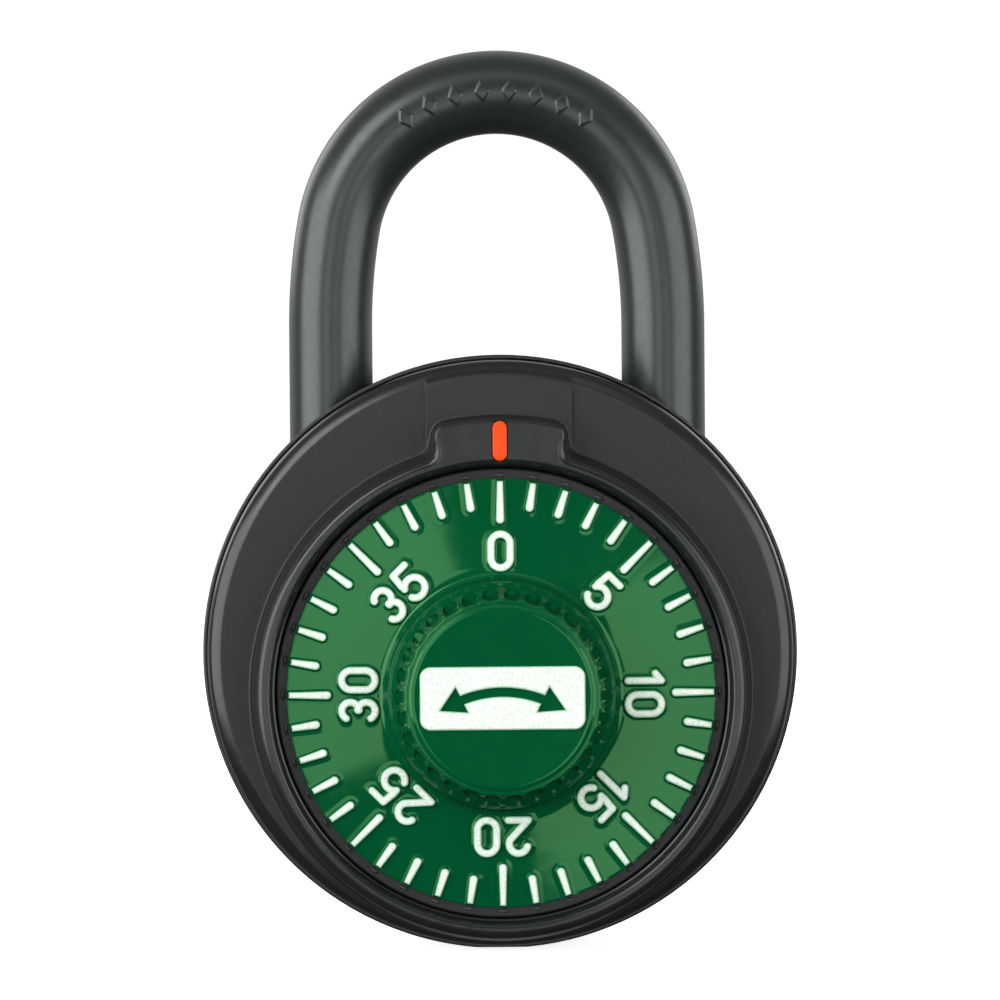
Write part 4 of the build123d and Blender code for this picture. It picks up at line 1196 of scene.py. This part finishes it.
# ---- Camera: a long lens just above and to the left of the dial's axis ----

camera_distance = 450.0
view_width = 84.07
view_centre = Vector((0.067, -lip_depth, 12.78))
camera_azimuth = radians(-0.8)
camera_elevation = radians(1.5)
camera_roll = radians(-0.45)

toward_camera = Vector((
    sin(camera_azimuth) * cos(camera_elevation),
    -cos(camera_azimuth) * cos(camera_elevation),
    sin(camera_elevation),
))
camera_data = bpy.data.cameras.new("camera")
camera_data.sensor_width = 36.0
camera_data.lens = camera_data.sensor_width * camera_distance / view_width
camera = bpy.data.objects.new("camera", camera_data)
bpy.context.scene.collection.objects.link(camera)
camera.location = (view_centre + toward_camera * camera_distance) * MM
aim = (-toward_camera).to_track_quat("-Z", "Y").to_matrix() @ Matrix.Rotation(camera_roll, 3, "Z")
camera.rotation_euler = aim.to_euler()
camera_data.clip_start = 0.01
bpy.context.scene.camera = camera


# ---- Studio: pale floor, white surround, soft boxes at the sides and above ----


def floor():
    """White paper that only the camera sees, so that it neither lights nor mirrors in the lock."""
    reach = 0.7
    height = case_low[2] * MM
    corners = [(x * reach, y * reach, height) for x, y in ((-1, -1), (1, -1), (1, 1), (-1, 1))]
    mesh = bpy.data.meshes.new("floor")
    mesh.from_pydata(corners, [], [[0, 1, 2, 3]])
    shader = Shader("floor_paper", (0.86, 0.86, 0.86), 0.9, Emission_Strength=0.82)
    shader.surface.inputs["Emission Color"].default_value = (1, 1, 1, 1)
    shader.colour(shader.mix(shader.noise(40.0), (0.84, 0.84, 0.84), (0.88, 0.88, 0.88)))
    mesh.materials.append(shader.material)
    piece = bpy.data.objects.new("floor", mesh)
    for ray in ("diffuse", "glossy", "transmission", "shadow"):
        setattr(piece, f"visible_{ray}", False)
    bpy.context.scene.collection.objects.link(piece)


def soft_box(name, centre, target, width, height, radiance):
    """A rectangular lamp of an even radiance, aimed at a target, sizes in millimetres."""
    data = bpy.data.lights.new(name, "AREA")
    data.shape = "RECTANGLE"
    data.size = width * MM
    data.size_y = height * MM
    data.energy = radiance * pi * data.size * data.size_y
    lamp = bpy.data.objects.new(name, data)
    lamp.location = Vector(centre) * MM
    lamp.rotation_euler = (Vector(target) - Vector(centre)).to_track_quat("-Z", "Y").to_euler()
    lamp.visible_camera = False
    bpy.context.scene.collection.objects.link(lamp)


floor()
lock_middle = (0.0, -10.0, 10.0)
soft_box("near_left", (-129, -620, 15), (-129, 0, 15), 184, 245, 2.9)
soft_box("near_right", (129, -620, -64), (129, 0, -64), 184, 242, 2.9)
soft_box("side_left", (-530, -330, 60), lock_middle, 640, 460, 4.4)
soft_box("side_right", (500, -370, 60), lock_middle, 600, 460, 3.1)
soft_box("upper_left", (-330, -420, 340), lock_middle, 280, 240, 6.0)
soft_box("top", (0, -430, 480), lock_middle, 600, 260, 0.75)
soft_box("back_left", (-450, 420, 260), lock_middle, 380, 380, 1.8)
soft_box("back_right", (450, 420, 260), lock_middle, 380, 380, 1.8)


def surround():
    """White to the camera. As light it is a dim grey room that is dark in front."""
    world = bpy.data.worlds.new("surround")
    world.use_nodes = True
    room = Nodes(world.node_tree)
    room.tree.nodes.clear()
    split = room.add("ShaderNodeSeparateXYZ")
    room.link(room.add("ShaderNodeTexCoord").outputs["Generated"], split.inputs["Vector"])
    away, up = split.outputs["Y"], split.outputs["Z"]
    walls = room.combine(
        "MULTIPLY",
        room.spread(away, 0.08, 1.0, -0.96, -0.4, interpolation_type="SMOOTHSTEP"),
        room.spread(up, 0.04, 0.26, -0.4, 0.8, interpolation_type="SMOOTHSTEP"),
    )
    backdrop = room.combine(
        "MULTIPLY", room.spread(away, 0.0, 0.45, 0.05, 0.6), room.spread(up, 0.1, 1.0, -0.5, -0.05)
    )
    seen = room.add("ShaderNodeBackground")
    lit = room.add("ShaderNodeBackground")
    for background in (seen, lit):
        background.inputs["Color"].default_value = (1, 1, 1, 1)
    seen.inputs["Strength"].default_value = 1.05
    room.link(room.combine("ADD", walls, backdrop), lit.inputs["Strength"])
    choose = room.add("ShaderNodeMixShader")
    room.link(room.add("ShaderNodeLightPath").outputs["Is Camera Ray"], choose.inputs["Fac"])
    room.link(lit.outputs["Background"], choose.inputs[1])
    room.link(seen.outputs["Background"], choose.inputs[2])
    room.link(choose.outputs["Shader"], room.add("ShaderNodeOutputWorld").inputs["Surface"])
    bpy.context.scene.world = world


surround()
bpy.context.scene.view_settings.view_transform = "Standard"
